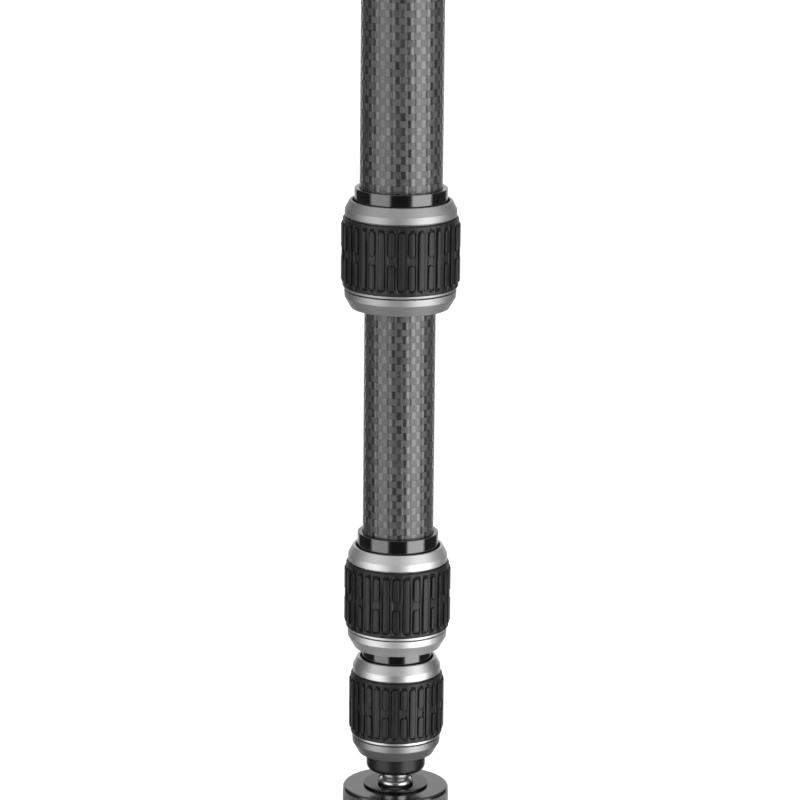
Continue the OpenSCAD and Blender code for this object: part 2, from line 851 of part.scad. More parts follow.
// Leg from its pin to its foot, drawn in its side view and cut to its width
module leg(turn) {
    heel_len = 6;
    tip_r = foot_radius + foot_d / 2 + 1.5;
    foot_back = foot_radius - foot_d / 2 - 1.5;
    tip_edge = 2;
    color("dimgray")
        rotate([0, 0, turn])
            difference() {
                translate([0, leg_w / 2, 0])
                    rotate([90, 0, 0])
                        linear_extrude(height = leg_w)
                            polygon(concat(
                                arc([pivot_radius, pivot_z], lug_r, 90, 270, 12),
                                [
                                    [pivot_radius + lug_r, pivot_z - lug_r + 1],
                                    [foot_back, foot_h],
                                    [tip_r, foot_h],
                                    [tip_r, foot_h + leg_tip_h - tip_edge],
                                    [tip_r - tip_edge, foot_h + leg_tip_h],
                                    [pivot_radius + heel_len, pivot_z + lug_r]
                                ]
                            ));
                translate([pivot_radius, leg_w, pivot_z])
                    rotate([90, 0, 0])
                        cylinder(d = pin_d + 2 * run_gap, h = 2 * leg_w, $fn = 32);
                translate([foot_radius, 0, foot_h - 1])
                    cylinder(d = foot_screw_d + 2 * bond_gap, h = leg_tip_h - 0.5, $fn = 32);
            }
}

module foot(turn) {
    r = foot_d / 2;
    edge = 0.6;
    color(rubber)
        rotate([0, 0, turn])
            translate([foot_radius, 0, 0])
                turned([
                    [foot_head_r + bond_gap, 0],
                    [r - edge, 0],
                    [r, edge],
                    [r, foot_h],
                    [foot_screw_d / 2 + bond_gap, foot_h],
                    [foot_screw_d / 2 + bond_gap, foot_head_z + foot_head_h],
                    [foot_head_r + bond_gap, foot_head_z + foot_head_h]
                ]);
}

module foot_screw(turn) {
    top = foot_h + leg_tip_h - 2;
    color("gainsboro")
        rotate([0, 0, turn])
            translate([foot_radius, 0, 0])
                turned([
                    [0, foot_head_z],
                    [foot_head_r, foot_head_z],
                    [foot_head_r, foot_head_z + foot_head_h],
                    [foot_screw_d / 2, foot_head_z + foot_head_h],
                    [foot_screw_d / 2, top],
                    [0, top]
                ]);
}

base_hub();
socket_housing();
lower_ball_seat();
upper_ball_seat();
seat_springs();
leg_pins();
leg_detents();
hub_screw();
hub_bottom_pad();
ball_lock_ring();
slotted_washer();
leg(leg_turns[0]);  // leg_a
leg(leg_turns[1]);  // leg_b
leg(leg_turns[2]);  // leg_c
foot(leg_turns[0]);  // foot_a
foot(leg_turns[1]);  // foot_b
foot(leg_turns[2]);  // foot_c
foot_screw(leg_turns[0]);  // foot_screw_a
foot_screw(leg_turns[1]);  // foot_screw_b
foot_screw(leg_turns[2]);  // foot_screw_c
ball_stud();
foot_cap();
tube_body(4, tube_4_z, slide_tube_len);  // tube_4
shims(4, tube_4_z + slide_tube_len);  // tube_4_shims
tube_body(3, tube_3_z, slide_tube_len);  // tube_3
lock_collar(3);  // lock_3_collar
lock_collet(3);  // lock_3_collet
shims(3, tube_3_z + slide_tube_len);  // tube_3_shims
lock_sleeve(3);  // lock_3_twist_sleeve
lock_grip(3, rib_2_count, rib_3_turn);  // lock_3_grip
lock_end_ring(3);  // lock_3_end_ring
lock_seal(3);  // lock_3_dust_seal
tube_body(2, tube_2_z, slide_tube_len);  // tube_2
lock_collar(2);  // lock_2_collar
lock_collet(2);  // lock_2_collet
shims(2, tube_2_z + slide_tube_len);  // tube_2_shims
lock_sleeve(2);  // lock_2_twist_sleeve
lock_grip(2, rib_2_count, rib_2_turn);  // lock_2_grip
lock_end_ring(2);  // lock_2_end_ring
lock_seal(2);  // lock_2_dust_seal
tube_body(1, tube_1_z, tube_1_len);  // tube_1
lock_collar(1);  // lock_1_collar
lock_collet(1);  // lock_1_collet
lock_sleeve(1);  // lock_1_twist_sleeve
lock_grip(1, rib_1_count, rib_1_turn);  // lock_1_grip
lock_end_ring(1);  // lock_1_end_ring
lock_seal(1);  // lock_1_dust_seal
foam_grip();
grip_trim_ring();
head_casting();
platform_pad();
camera_screw();
head_set_screws();
strap_lug();
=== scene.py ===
"""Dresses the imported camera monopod: its tubes, twist locks, ball joint, legs, grip and head.

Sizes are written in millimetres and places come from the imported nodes. The pole stands on +Z
over the floor at z = 0, and the photograph looks along +Y.
"""

import logging
import math
from collections.abc import Callable, Iterable, Sequence
from dataclasses import dataclass
from enum import Enum

import bmesh
import bpy
from mathutils import Matrix, Vector


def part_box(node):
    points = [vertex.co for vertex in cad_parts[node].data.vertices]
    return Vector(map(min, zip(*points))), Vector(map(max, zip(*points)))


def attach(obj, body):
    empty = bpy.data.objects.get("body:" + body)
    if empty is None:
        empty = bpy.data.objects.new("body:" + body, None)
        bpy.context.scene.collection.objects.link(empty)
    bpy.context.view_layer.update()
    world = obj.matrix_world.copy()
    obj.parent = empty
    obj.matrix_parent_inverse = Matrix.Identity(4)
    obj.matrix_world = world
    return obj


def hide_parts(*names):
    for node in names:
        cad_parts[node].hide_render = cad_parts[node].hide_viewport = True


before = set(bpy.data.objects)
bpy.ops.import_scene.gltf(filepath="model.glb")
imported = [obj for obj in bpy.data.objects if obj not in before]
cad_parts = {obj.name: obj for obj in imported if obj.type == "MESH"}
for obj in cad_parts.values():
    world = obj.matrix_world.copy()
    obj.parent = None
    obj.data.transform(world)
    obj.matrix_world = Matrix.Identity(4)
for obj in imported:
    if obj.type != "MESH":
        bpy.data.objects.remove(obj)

log = logging.getLogger("monopod")

MM = 0.001
LATHE_STEPS = 160
TUBE_STEPS = 224
MERGE_DISTANCE = 1e-6
SMOOTH_ANGLE = math.radians(26)
LEG_TURNS = {"a": 90.0, "b": 210.0, "c": 330.0}
TUBE_WALL = 1.2

# Gaps between pieces that touch, and round a pin or a screw that is put in later.
FIT = 0.04
LOOSE_FIT = 0.08

Point = tuple[float, float]
Colour = tuple[float, float, float]
Paint = tuple[float, float, float, float]
Piece = bpy.types.Object


class Slot(Enum):
    """Material slots of the record."""

    CARBON = "carbon_fibre"
    SILVER = "silver_anodised"
    BLACK = "black_anodised"
    RUBBER = "rubber"
    FOAM = "foam"
    NYLON = "nylon"
    CHROME = "chrome"
    STEEL = "spring_steel"
    BLACK_STEEL = "black_steel"
    BRASS = "brass"


class Signal:
    """A shader socket that adds Math nodes when it is used in an expression."""

    def __init__(self, graph: "Graph", socket: bpy.types.NodeSocket | None) -> None:
        """Wraps an output socket of the graph, or None for an output node."""
        self.graph = graph
        self.socket = socket

    def _math(self, operation: str, *values: "Signal | float") -> "Signal":
        """Adds one Math node with its inputs in order."""
        return self.graph.add("ShaderNodeMath", {"operation": operation}, dict(enumerate(values)))

    def __add__(self, other: "Signal | float") -> "Signal":
        """Adds."""
        return self._math("ADD", self, other)

    __radd__ = __add__

    def __sub__(self, other: "Signal | float") -> "Signal":
        """Subtracts."""
        return self._math("SUBTRACT", self, other)

    def __rsub__(self, other: float) -> "Signal":
        """Subtracts from a number."""
        return self._math("SUBTRACT", other, self)

    def __mul__(self, other: "Signal | float") -> "Signal":
        """Multiplies."""
        return self._math("MULTIPLY", self, other)

    __rmul__ = __mul__

    def __truediv__(self, other: "Signal | float") -> "Signal":
        """Divides."""
        return self._math("DIVIDE", self, other)

    def apply(self, operation: str, *others: "Signal | float") -> "Signal":
        """Applies a Math operation, such as FLOOR or SINE, to this signal and further inputs."""
        return self._math(operation, self, *others)

    def ramp(self, low: float, high: float, start: float = 0.0, end: float = 1.0) -> "Signal":
        """Maps a range smoothly to another.

        Args:
            low: Value at which the result is start.
            high: Value at which the result is end.
            start: Result at low.
            end: Result at high.

        Returns:
            The mapped value.
        """
        settings = {"interpolation_type": "SMOOTHSTEP"}
        values = {"Value": self, "From Min": low, "From Max": high, "To Min": start, "To Max": end}
        return self.graph.add("ShaderNodeMapRange", settings, values, "Result")


class Graph:
    """The node graph of one material or of the world."""

    def __init__(self, tree: bpy.types.NodeTree) -> None:
        """Empties a node tree and wraps it."""
        self.tree = tree
        tree.nodes.clear()

    def add(
        self,
        kind: str,
        settings: dict[str, object] | None = None,
        values: dict[str | int, object] | None = None,
        output: str | int = 0,
    ) -> Signal:
        """Adds a node.

        Args:
            kind: The node's type.
            settings: Properties that are set first.
            values: Numbers, colours or signals for its sockets, by name or place.
            output: The output that is wrapped.

        Returns:
            The output as a signal.
        """
        node = self.tree.nodes.new(kind)
        for name, value in (settings or {}).items():
            setattr(node, name, value)
        for name, value in (values or {}).items():
            socket = node.inputs[name]
            if isinstance(value, Signal):
                self.tree.links.new(value.socket, socket)
            else:
                socket.default_value = value
        return Signal(self, node.outputs[output] if node.outputs else None)

    def position(self) -> tuple[Signal, Signal, Signal]:
        """Gives the object coordinates in millimetres.

        Returns:
            X, Y and Z.
        """
        place = self.add("ShaderNodeTexCoord", output="Object")
        parts = [self.add("ShaderNodeSeparateXYZ", values={0: place}, output=i) for i in range(3)]
        return tuple(part * (1.0 / MM) for part in parts)

    def noise(self, scale: float, detail: float = 3.0, stretch: Sequence[float] = (1.0, 1.0, 1.0)) -> Signal:
        """Adds noise on object coordinates.

        Args:
            scale: Features in each millimetre.
            detail: Octaves.
            stretch: Factor on each axis.

        Returns:
            Noise from 0 to 1.
        """
        place = self.add("ShaderNodeTexCoord", output="Object")
        mapped = self.add(
            "ShaderNodeMapping", values={"Vector": place, "Scale": tuple(s / MM for s in stretch)}
        )
        return self.add("ShaderNodeTexNoise", values={"Vector": mapped, "Scale": scale, "Detail": detail})

    def mix(self, factor: Signal | float, first: object, second: object) -> Signal:
        """Mixes two colours. The node's sockets share their names, so they go by place.

        Args:
            factor: Share of the second.
            first: Colour or signal.
            second: Colour or signal.

        Returns:
            The mixed colour.
        """
        at_factor, at_first, at_second, at_result = 0, 6, 7, 2
        values = {at_factor: factor, at_first: first, at_second: second}
        return self.add("ShaderNodeMix", {"data_type": "RGBA"}, values, at_result)

    def bump(self, height: Signal, depth: float) -> Signal:
        """Adds a bump whose height of 1 stands for a depth in millimetres."""
        return self.add("ShaderNodeBump", values={"Height": height, "Distance": depth * MM, "Strength": 1.0})

    def surface(self, **values: object) -> None:
        """Adds the principled shader and the output.

        Args:
            values: Socket values, with underscores for spaces.
        """
        named = {name.replace("_", " "): value for name, value in values.items()}
        shader = self.add("ShaderNodeBsdfPrincipled", values=named)
        self.add("ShaderNodeOutputMaterial", values={"Surface": shader})


def grey(level: float) -> Paint:
    """Gives a neutral linear colour of one brightness."""
    return (level, level, level, 1.0)


def tint(colour: Colour, gain: float = 1.0, lift: float = 0.0) -> Paint:
    """Gives an opaque colour, scaled by a gain and raised by a lift."""
    red, green, blue = (min(1.0, value * gain + lift) for value in colour)
    return (red, green, blue, 1.0)


@dataclass(frozen=True)
class Finish:
    """A finish that makes one material, once."""

    name: str

    def paint(self, graph: Graph) -> None:
        """Fills the material's empty graph."""
        raise NotImplementedError

    def material(self) -> bpy.types.Material:
        """Gives the material, made on first use.

        Returns:
            The material.
        """
        made = bpy.data.materials.get(self.name)
        if made is None:
            made = bpy.data.materials.new(self.name)
            made.use_nodes = True
            self.paint(Graph(made.node_tree))
        return made


@dataclass(frozen=True)
class CarbonWeave(Finish):
    """Plain-woven carbon fibre under clear lacquer, on an upright tube.

    Attributes:
        cells: Tows round the tube.
        pitch: Height of a tow in millimetres.
        skew: Turn of the weave in cells for each millimetre of height.
        upright_sheen_tone: Grey of the fibres that run up the tube, with painted sheen for their direction.
        level_sheen_tone: Grey of the fibres that run round it; its difference from upright_sheen_tone is
            painted sheen.
        level_metal: How metallic the fibres that run round it look.
        relief: Depth of the weave in millimetres.
        lacquer: Weight of the clear coat.
        bulge: How far a tow swells over its neighbours, in cells.
        seam_and_shade_tone: Grey of the resin between two tows, also blended towards each tow's sides as
            painted shade on the rounded tows.
        spread: Darkest and palest fibre, as shares of a tow's grey.
        roughness: Mean roughness of the fibres that run up the tube.
        polish: How much smoother the fibres that run round it look.
    """

    cells: int = 36
    pitch: float = 2.27
    skew: float = 0.008
    upright_sheen_tone: float = 0.05
    level_sheen_tone: float = 0.09
    level_metal: float = 0.6
    relief: float = 0.12
    lacquer: float = 0.15
    bulge: float = 0.06
    seam_and_shade_tone: float = 0.006
    spread: tuple[float, float] = (0.7, 1.35)
    roughness: float = 0.5
    polish: float = 0.24

    @staticmethod
    def wave(value: Signal, operation: str = "SINE") -> Signal:
        """Gives the sine or cosine that turns half round for each step of a value."""
        return (value * math.pi).apply(operation)

    def fibres(self, graph: Graph, shade: Signal, tone: float) -> Signal:
        """Mixes the darkest and the palest fibre of a tow's grey by a shade from 0 to 1."""
        darkest, palest = (grey(tone * share) for share in self.spread)
        return graph.mix(shade, darkest, palest)

    def paint(self, graph: Graph) -> None:
        """Weaves upright and level tows from the angle round the tube and the height.

        Args:
            graph: The empty graph.
        """
        x, y, z = graph.position()
        turn = y.apply("ARCTAN2", x) * (self.cells / math.tau) + z * self.skew
        rise = z / self.pitch
        column = turn + self.wave(rise) * self.wave(turn, "COSINE") * self.bulge
        row = rise - self.wave(turn) * self.wave(rise, "COSINE") * self.bulge
        column_number, row_number = column.apply("FLOOR"), row.apply("FLOOR")
        level = (column_number + row_number).apply("FLOORED_MODULO", 2.0)
        upright = 1.0 - level
        across, along = self.wave(column.apply("FRACT")), self.wave(row.apply("FRACT"))
        crimp = upright * along + level * across
        profile = upright * across + level * along
        height = crimp * 0.8 + profile.apply("POWER", 0.5) * 0.25
        strands_up = graph.noise(0.9, 2.0, (4.0, 4.0, 0.25))
        strands_level = graph.noise(0.9, 2.0, (0.35, 0.35, 4.0))
        strands = upright * strands_up + level * strands_level - 0.5
        cell = graph.add("ShaderNodeCombineXYZ", values={"X": column_number, "Y": row_number})
        dimensions = {"noise_dimensions": "3D"}
        chance = graph.add("ShaderNodeTexWhiteNoise", dimensions, {"Vector": cell}, "Value") - 0.5
        patch = graph.noise(0.3, 2.0) - 0.5
        shade = 0.5 + strands * 0.9 + patch * 0.6 + chance * 0.8
        shade = shade.apply("MAXIMUM", 0.0).apply("MINIMUM", 1.0)
        # The two tow directions get different greys: painted sheen standing in for the fibres' directional
        # reflection.
        rising = self.fibres(graph, shade, self.upright_sheen_tone)
        lying = self.fibres(graph, shade, self.level_sheen_tone)
        # Darker towards each tow's sides: the resin between tows plus painted shade on the rounded tows.
        seam_and_shade = profile.ramp(0.0, 0.6, 0.85, 1.0)
        graph.surface(
            Base_Color=graph.mix(seam_and_shade, grey(self.seam_and_shade_tone), graph.mix(level, rising, lying)),
            Metallic=level * self.level_metal,
            Roughness=self.roughness - level * self.polish + strands * 0.1 + chance * 0.12,
            Normal=graph.bump(height + strands * 0.25, self.relief),
            Specular_IOR_Level=1.0,
            Coat_Weight=self.lacquer,
            Coat_Roughness=0.14,
            Coat_IOR=1.5,
        )


@dataclass(frozen=True)
class TurnedMetal(Finish):
    """Metal or anodised metal with the faint rings of a lathe tool.

    Attributes:
        colour: Linear colour.
        metallic: Share of metal.
        roughness: Mean roughness.
        rings: Tool marks in each millimetre of height.
        depth: Depth of the marks in millimetres.
        specular: Specular level of the coat where it isn't metal.
        ior: Refractive index of the coat.
        wear: How pale the rubbed patches are.
    """

    colour: Colour = (0.5, 0.5, 0.51)
    metallic: float = 1.0
    roughness: float = 0.32
    rings: float = 5.0
    depth: float = 0.004
    specular: float = 0.5
    ior: float = 1.5
    wear: float = 0.2

    def paint(self, graph: Graph) -> None:
        """Adds rings round the axis, a soft cloudiness and paler rubbed patches.

        Args:
            graph: The empty graph.
        """
        tool = graph.noise(self.rings, 2.0, (0.02, 0.02, 1.0))
        cloud = graph.noise(0.12, 3.0)
        rub = graph.noise(1.4, 4.0).ramp(0.58, 0.78)
        share = rub * self.wear + (cloud - 0.5) * 0.2
        rough = self.roughness + (tool - 0.5) * 0.08 + (cloud - 0.5) * 0.06 + rub * (self.wear * 0.2)
        graph.surface(
            Base_Color=graph.mix(share, tint(self.colour), tint(self.colour, 1.25, 0.01)),
            Metallic=self.metallic,
            Roughness=rough.apply("MAXIMUM", 0.03),
            Normal=graph.bump(tool, self.depth),
            Specular_IOR_Level=self.specular,
            IOR=self.ior,
        )


@dataclass(frozen=True)
class CastMetal(Finish):
    """Cast or machined metal under a satin black coat with a fine grain.

    Attributes:
        colour: Linear colour.
        roughness: Mean roughness.
        grain: Grains in each millimetre.
        depth: Depth of the grain in millimetres.
        specular: Specular level of the coat.
    """

    colour: Colour = (0.009, 0.009, 0.01)
    roughness: float = 0.4
    grain: float = 3.2
    depth: float = 0.02
    specular: float = 0.5

    def paint(self, graph: Graph) -> None:
        """Adds grain, cloudiness and a little dust.

        Args:
            graph: The empty graph.
        """
        grain = graph.noise(self.grain, 4.0)
        cloud = graph.noise(0.08, 3.0)
        dust = graph.noise(2.2, 5.0).ramp(0.68, 0.8)
        share = dust * 0.3 + (cloud - 0.4) * 0.5
        graph.surface(
            Base_Color=graph.mix(share, tint(self.colour), tint(self.colour, 1.7, 0.012)),
            Roughness=self.roughness + (grain - 0.5) * 0.14 + (cloud - 0.5) * 0.1,
            Normal=graph.bump(grain, self.depth),
            Specular_IOR_Level=self.specular,
        )


@dataclass(frozen=True)
class MouldedRubber(Finish):
    """Matt moulded rubber with a fine skin and a few light specks.

    Attributes:
        level: Linear grey.
        roughness: Mean roughness.
        depth: Depth of the skin in millimetres.
        specks: Share of the specks' pale grey.
    """

    level: float = 0.0075
    roughness: float = 0.45
    depth: float = 0.025
    specks: float = 0.35

    def paint(self, graph: Graph) -> None:
        """Adds the skin, worn patches and specks.

        Args:
            graph: The empty graph.
        """
        skin = graph.noise(4.0, 4.0)
        worn = graph.noise(0.22, 3.0)
        specks = graph.noise(3.0, 1.0).ramp(0.79, 0.83)
        tone = graph.mix(worn.ramp(0.3, 0.75), grey(self.level), grey(self.level * 1.5 + 0.002))
        colour = graph.mix(specks * self.specks, tone, grey(0.4))
        graph.surface(
            Base_Color=colour,
            Roughness=self.roughness + (skin - 0.5) * 0.2 + (worn - 0.5) * 0.08,
            Normal=graph.bump(skin, self.depth),
            Specular_IOR_Level=0.42,
        )


@dataclass(frozen=True)
class FoamSkin(Finish):
    """Closed-cell foam with fine cells and a soft sheen.

    Attributes:
        level: Linear grey.
        cells: Cells in each millimetre.
        depth: Depth of the cells in millimetres.
    """

    level: float = 0.018
    cells: float = 1.9
    depth: float = 0.09

    def paint(self, graph: Graph) -> None:
        """Adds cells, pits painted darker as shade in their hollows, and soft clouds.

        Args:
            graph: The empty graph.
        """
        place = graph.add("ShaderNodeTexCoord", output="Object")
        cells = graph.add(
            "ShaderNodeTexVoronoi",
            {"feature": "F1"},
            {"Vector": place, "Scale": self.cells / MM, "Randomness": 1.0},
            "Distance",
        )
        fine = graph.noise(3.0, 3.0)
        cloud = graph.noise(0.06, 3.0)
        pits = cells.ramp(0.1, 0.6)
        # Darker in the hollows of the pits: painted shade that follows the bump.
        tone = graph.mix(pits, grey(self.level * 0.5), grey(self.level * 1.6))
        colour = graph.mix(cloud.ramp(0.35, 0.7, 0.0, 0.4), tone, grey(self.level * 2.4))
        graph.surface(
            Base_Color=colour,
            Roughness=0.78 + (fine - 0.5) * 0.2,
            Normal=graph.bump(pits * 0.8 + fine * 0.4, self.depth),
            Sheen_Weight=0.25,
            Sheen_Roughness=0.5,
            Specular_IOR_Level=0.3,
        )


@dataclass(frozen=True)
class Nylon(Finish):
    """Pale engineering plastic with a fine waxy skin."""

    colour: Colour = (0.62, 0.6, 0.54)

    def paint(self, graph: Graph) -> None:
        """Adds soft clouds and a fine skin.

        Args:
            graph: The empty graph.
        """
        cloud = graph.noise(0.15, 3.0)
        skin = graph.noise(2.5, 3.0)
        graph.surface(
            Base_Color=graph.mix(cloud.ramp(0.3, 0.7), tint(self.colour, 0.8), tint(self.colour)),
            Roughness=0.42 + (skin - 0.5) * 0.15,
            Normal=graph.bump(skin, 0.02),
        )


class Finishes:
    """The finishes of the monopod, by the pieces that wear them."""

    WIDE_WEAVE = CarbonWeave("wide_tube_weave", cells=36, pitch=2.27)
    SECOND_WEAVE = CarbonWeave("second_tube_weave", cells=32, pitch=2.22)
    THIRD_WEAVE = CarbonWeave("third_tube_weave", cells=26, pitch=2.27)
    FOURTH_WEAVE = CarbonWeave("fourth_tube_weave", cells=22, pitch=2.27)
    SILVER = TurnedMetal("silver_anodised_aluminium", colour=(0.42, 0.42, 0.425), roughness=0.54)
    BRIGHT_SILVER = TurnedMetal("bright_silver_anodised", colour=(0.66, 0.66, 0.665), roughness=0.5)
    SOFT_SILVER = TurnedMetal("soft_silver_anodised", colour=(0.62, 0.62, 0.625), roughness=0.42)
    DARK_SILVER = TurnedMetal("dark_silver_anodised", colour=(0.34, 0.34, 0.345), roughness=0.48)
    GLOSS_BLACK = TurnedMetal(
        "gloss_black_collar",
        colour=(0.004, 0.004, 0.0045),
        metallic=0.0,
        roughness=0.13,
        rings=3.0,
        specular=1.0,
        ior=1.6,
        wear=0.1,
    )
    SATIN_BLACK = CastMetal("satin_black_anodised", roughness=0.36, grain=5.0, depth=0.008, specular=0.38)
    COLLAR_BLACK = CastMetal(
        "knurled_collar_black", (0.009, 0.009, 0.0095), roughness=0.16, grain=5.0, depth=0.006, specular=1.0
    )
    DISC_BLACK = CastMetal("disc_black", (0.004, 0.004, 0.0045), roughness=0.24, grain=5.0, depth=0.004)
    CAST_BLACK = CastMetal("cast_black_coat", roughness=0.46, grain=2.6, depth=0.03)
    CHROME = TurnedMetal(
        "polished_chrome", colour=(0.62, 0.62, 0.63), roughness=0.3, rings=4.0, depth=0.002, wear=0.1
    )
    STEEL = TurnedMetal("spring_steel", colour=(0.42, 0.42, 0.43), roughness=0.28)
    BLACK_STEEL = TurnedMetal("blackened_steel", colour=(0.07, 0.07, 0.075), roughness=0.34)
    BRASS = TurnedMetal("brass", colour=(0.6, 0.42, 0.16), roughness=0.3)
    RUBBER = MouldedRubber("grip_rubber")
    PAD_RUBBER = MouldedRubber("pad_rubber", level=0.028, specks=0.2)
    FOAM = FoamSkin("foam_skin")
    NYLON = Nylon("pale_nylon")


class Bench:
    """Modelling steps with Blender's operators, in millimetres."""

    @staticmethod
    def clear() -> None:
        """Deselects every object."""
        bpy.ops.object.select_all(action="DESELECT")

    @staticmethod
    def focus(piece: Piece) -> None:
        """Selects one piece alone and makes it the active one.

        Args:
            piece: The piece.
        """
        Bench.clear()
        piece.select_set(True)
        bpy.context.view_layer.objects.active = piece

    @staticmethod
    def discard(piece: Piece) -> None:
        """Removes a pattern or a tool that has served."""
        bpy.data.objects.remove(piece, do_unlink=True)

    @staticmethod
    def edit(piece: Piece, mode: str = "VERT") -> None:
        """Opens a piece in edit mode with nothing selected.

        Args:
            piece: The piece.
            mode: VERT, EDGE or FACE.
        """
        Bench.focus(piece)
        bpy.ops.object.mode_set(mode="EDIT")
        bpy.ops.mesh.select_mode(type=mode)
        bpy.ops.mesh.select_all(action="DESELECT")

    @staticmethod
    def pick(piece: Piece, test: Callable[[Vector], bool]) -> None:
        """Selects the vertices that pass a test on their place.

        Args:
            piece: The piece, in edit mode.
            test: Takes a place in millimetres.
        """
        mesh = bmesh.from_edit_mesh(piece.data)
        for vertex in mesh.verts:
            vertex.select = test(vertex.co / MM)
        mesh.select_flush(True)
        bmesh.update_edit_mesh(piece.data)

    @staticmethod
    def pick_faces(piece: Piece, test: Callable[[Vector, Vector], bool]) -> None:
        """Selects the faces that pass a test on their centre and normal.

        Args:
            piece: The piece, in edit mode.
            test: Takes the centre in millimetres and the normal.
        """
        mesh = bmesh.from_edit_mesh(piece.data)
        for face in mesh.faces:
            face.select_set(False)
        for face in mesh.faces:
            if test(face.calc_center_median() / MM, face.normal):
                face.select_set(True)
        bmesh.update_edit_mesh(piece.data)

    @staticmethod
    def close() -> None:
        """Merges doubles, turns the normals of the piece in edit mode outwards and leaves the mode."""
        bpy.ops.mesh.select_all(action="SELECT")
        bpy.ops.mesh.remove_doubles(threshold=MERGE_DISTANCE)
        bpy.ops.mesh.normals_make_consistent(inside=False)
        bpy.ops.object.mode_set(mode="OBJECT")

    @staticmethod
    def modify(piece: Piece, kind: str, **settings: object) -> None:
        """Adds one modifier and applies it.

        Args:
            piece: The piece.
            kind: The modifier's type.
            settings: Its properties.
        """
        Bench.focus(piece)
        modifier = piece.modifiers.new(kind.lower(), kind)
        for name, value in settings.items():
            setattr(modifier, name, value)
        bpy.ops.object.modifier_apply(modifier=modifier.name)

    @staticmethod
    def soften(piece: Piece, width: float, segments: int = 3, angle: float = 15.0) -> None:
        """Bevels the sharp edges of a piece.

        Args:
            piece: The piece.
            width: Width of the bevel in millimetres.
            segments: Faces across the bevel.
            angle: Least angle of an edge that is bevelled.
        """
        Bench.modify(
            piece,
            "BEVEL",
            width=width * MM,
            segments=segments,
            limit_method="ANGLE",
            angle_limit=math.radians(angle),
            miter_outer="MITER_ARC",
        )

    @staticmethod
    def smooth(piece: Piece, weighted: bool = True) -> None:
        """Shades the gentle edges smooth and keeps the wide faces flat.

        Args:
            piece: The piece.
            weighted: Whether wide faces set the normals of the narrow ones beside them.
        """
        Bench.focus(piece)
        bpy.ops.object.shade_smooth_by_angle(angle=SMOOTH_ANGLE)
        if weighted:
            Bench.modify(piece, "WEIGHTED_NORMAL", keep_sharp=True)

    @staticmethod
    def lathe(
        name: str, profile: Sequence[Point], base: float = 0.0, bevel: float = 0.0, steps: int = LATHE_STEPS
    ) -> Piece:
        """Turns a profile round the pole axis.

        Args:
            name: Name of the piece.
            profile: Radius and height of each corner. It is closed unless both ends lie on the axis.
            base: Height that is added to every corner.
            bevel: Width of the bevel on its edges.
            steps: Faces round the piece.

        Returns:
            The piece.
        """
        Bench.clear()
        bpy.ops.mesh.primitive_plane_add(size=MM, location=(0, 0, 0))
        piece = bpy.context.object
        Bench.rename(piece, name)
        bpy.ops.object.mode_set(mode="EDIT")
        bpy.ops.mesh.select_mode(type="VERT")
        bpy.ops.mesh.select_all(action="SELECT")
        bpy.ops.mesh.merge(type="CENTER")
        corners = [(radius * MM, (height + base) * MM) for radius, height in profile]
        if profile[0][0] > 0 or profile[-1][0] > 0:
            corners.append(corners[0])
        bpy.ops.transform.translate(value=(corners[0][0], 0, corners[0][1]))
        for (radius, height), (to_radius, to_height) in zip(corners, corners[1:]):
            step = (to_radius - radius, 0, to_height - height)
            bpy.ops.mesh.extrude_vertices_move(TRANSFORM_OT_translate={"value": step})
        bpy.ops.mesh.select_all(action="SELECT")
        bpy.ops.mesh.remove_doubles(threshold=MERGE_DISTANCE)
        bpy.ops.mesh.select_all(action="SELECT")
        bpy.ops.mesh.spin(steps=steps, angle=math.tau, center=(0, 0, 0), axis=(0, 0, 1))
        Bench.close()
        if bevel:
            Bench.soften(piece, bevel)
        Bench.smooth(piece)
        return piece

    @staticmethod
    def pill(name: str, width: float, length: float, depth: float, round_over: float) -> Piece:
        """Makes an upright pill that faces +X, with its back on the plane x = 0 and its low end at z = 0.

        Args:
            name: Name of the piece.
            width: Width of the pill.
            length: Length with both round ends.
            depth: Height of its face over its back.
            round_over: Bevel round the face, or 0.

        Returns:
            The piece.
        """
        Bench.clear()
        bpy.ops.mesh.primitive_circle_add(
            vertices=16,
            radius=width / 2 * MM,
            fill_type="NGON",
            location=(0, 0, 0),
            rotation=(0, math.pi / 2, 0),
        )
        piece = bpy.context.object
        Bench.rename(piece, name)
        Bench.place(piece)
        Bench.edit(piece)
        bpy.ops.mesh.select_all(action="SELECT")
        bpy.ops.transform.translate(value=(0, 0, width / 2 * MM))
        bpy.ops.mesh.select_all(action="DESELECT")
        Bench.pick(piece, lambda at: at.z > width / 2 + 0.001)
        bpy.ops.transform.translate(value=(0, 0, (length - width) * MM))
        bpy.ops.mesh.select_all(action="SELECT")
        bpy.ops.mesh.extrude_region_move(TRANSFORM_OT_translate={"value": (depth * MM, 0, 0)})
        if round_over:
            bpy.ops.mesh.bevel(offset=round_over * MM, segments=3, affect="EDGES")
        Bench.close()
        return piece

    @staticmethod
    def rename(piece: Piece, name: str) -> None:
        """Names a piece and its mesh."""
        piece.name = piece.data.name = name

    @staticmethod
    def place(piece: Piece) -> None:
        """Moves an object's place, turn and scale into its mesh."""
        Bench.focus(piece)
        bpy.ops.object.transform_apply(location=True, rotation=True, scale=True)

    @staticmethod
    def copy(piece: Piece, turn: float = 0.0, shift: Sequence[float] = (0, 0, 0)) -> Piece:
        """Copies a piece with its own mesh, moved and then turned round the pole axis.

        Args:
            piece: The piece.
            turn: Degrees round the axis.
            shift: Millimetres, before the turn.

        Returns:
            The copy.
        """
        twin = piece.copy()
        twin.data = piece.data.copy()
        bpy.context.collection.objects.link(twin)
        move = Matrix.Rotation(math.radians(turn), 4, "Z") @ Matrix.Translation(Vector(shift) * MM)
        twin.matrix_world = move @ piece.matrix_world
        Bench.place(twin)
        return twin

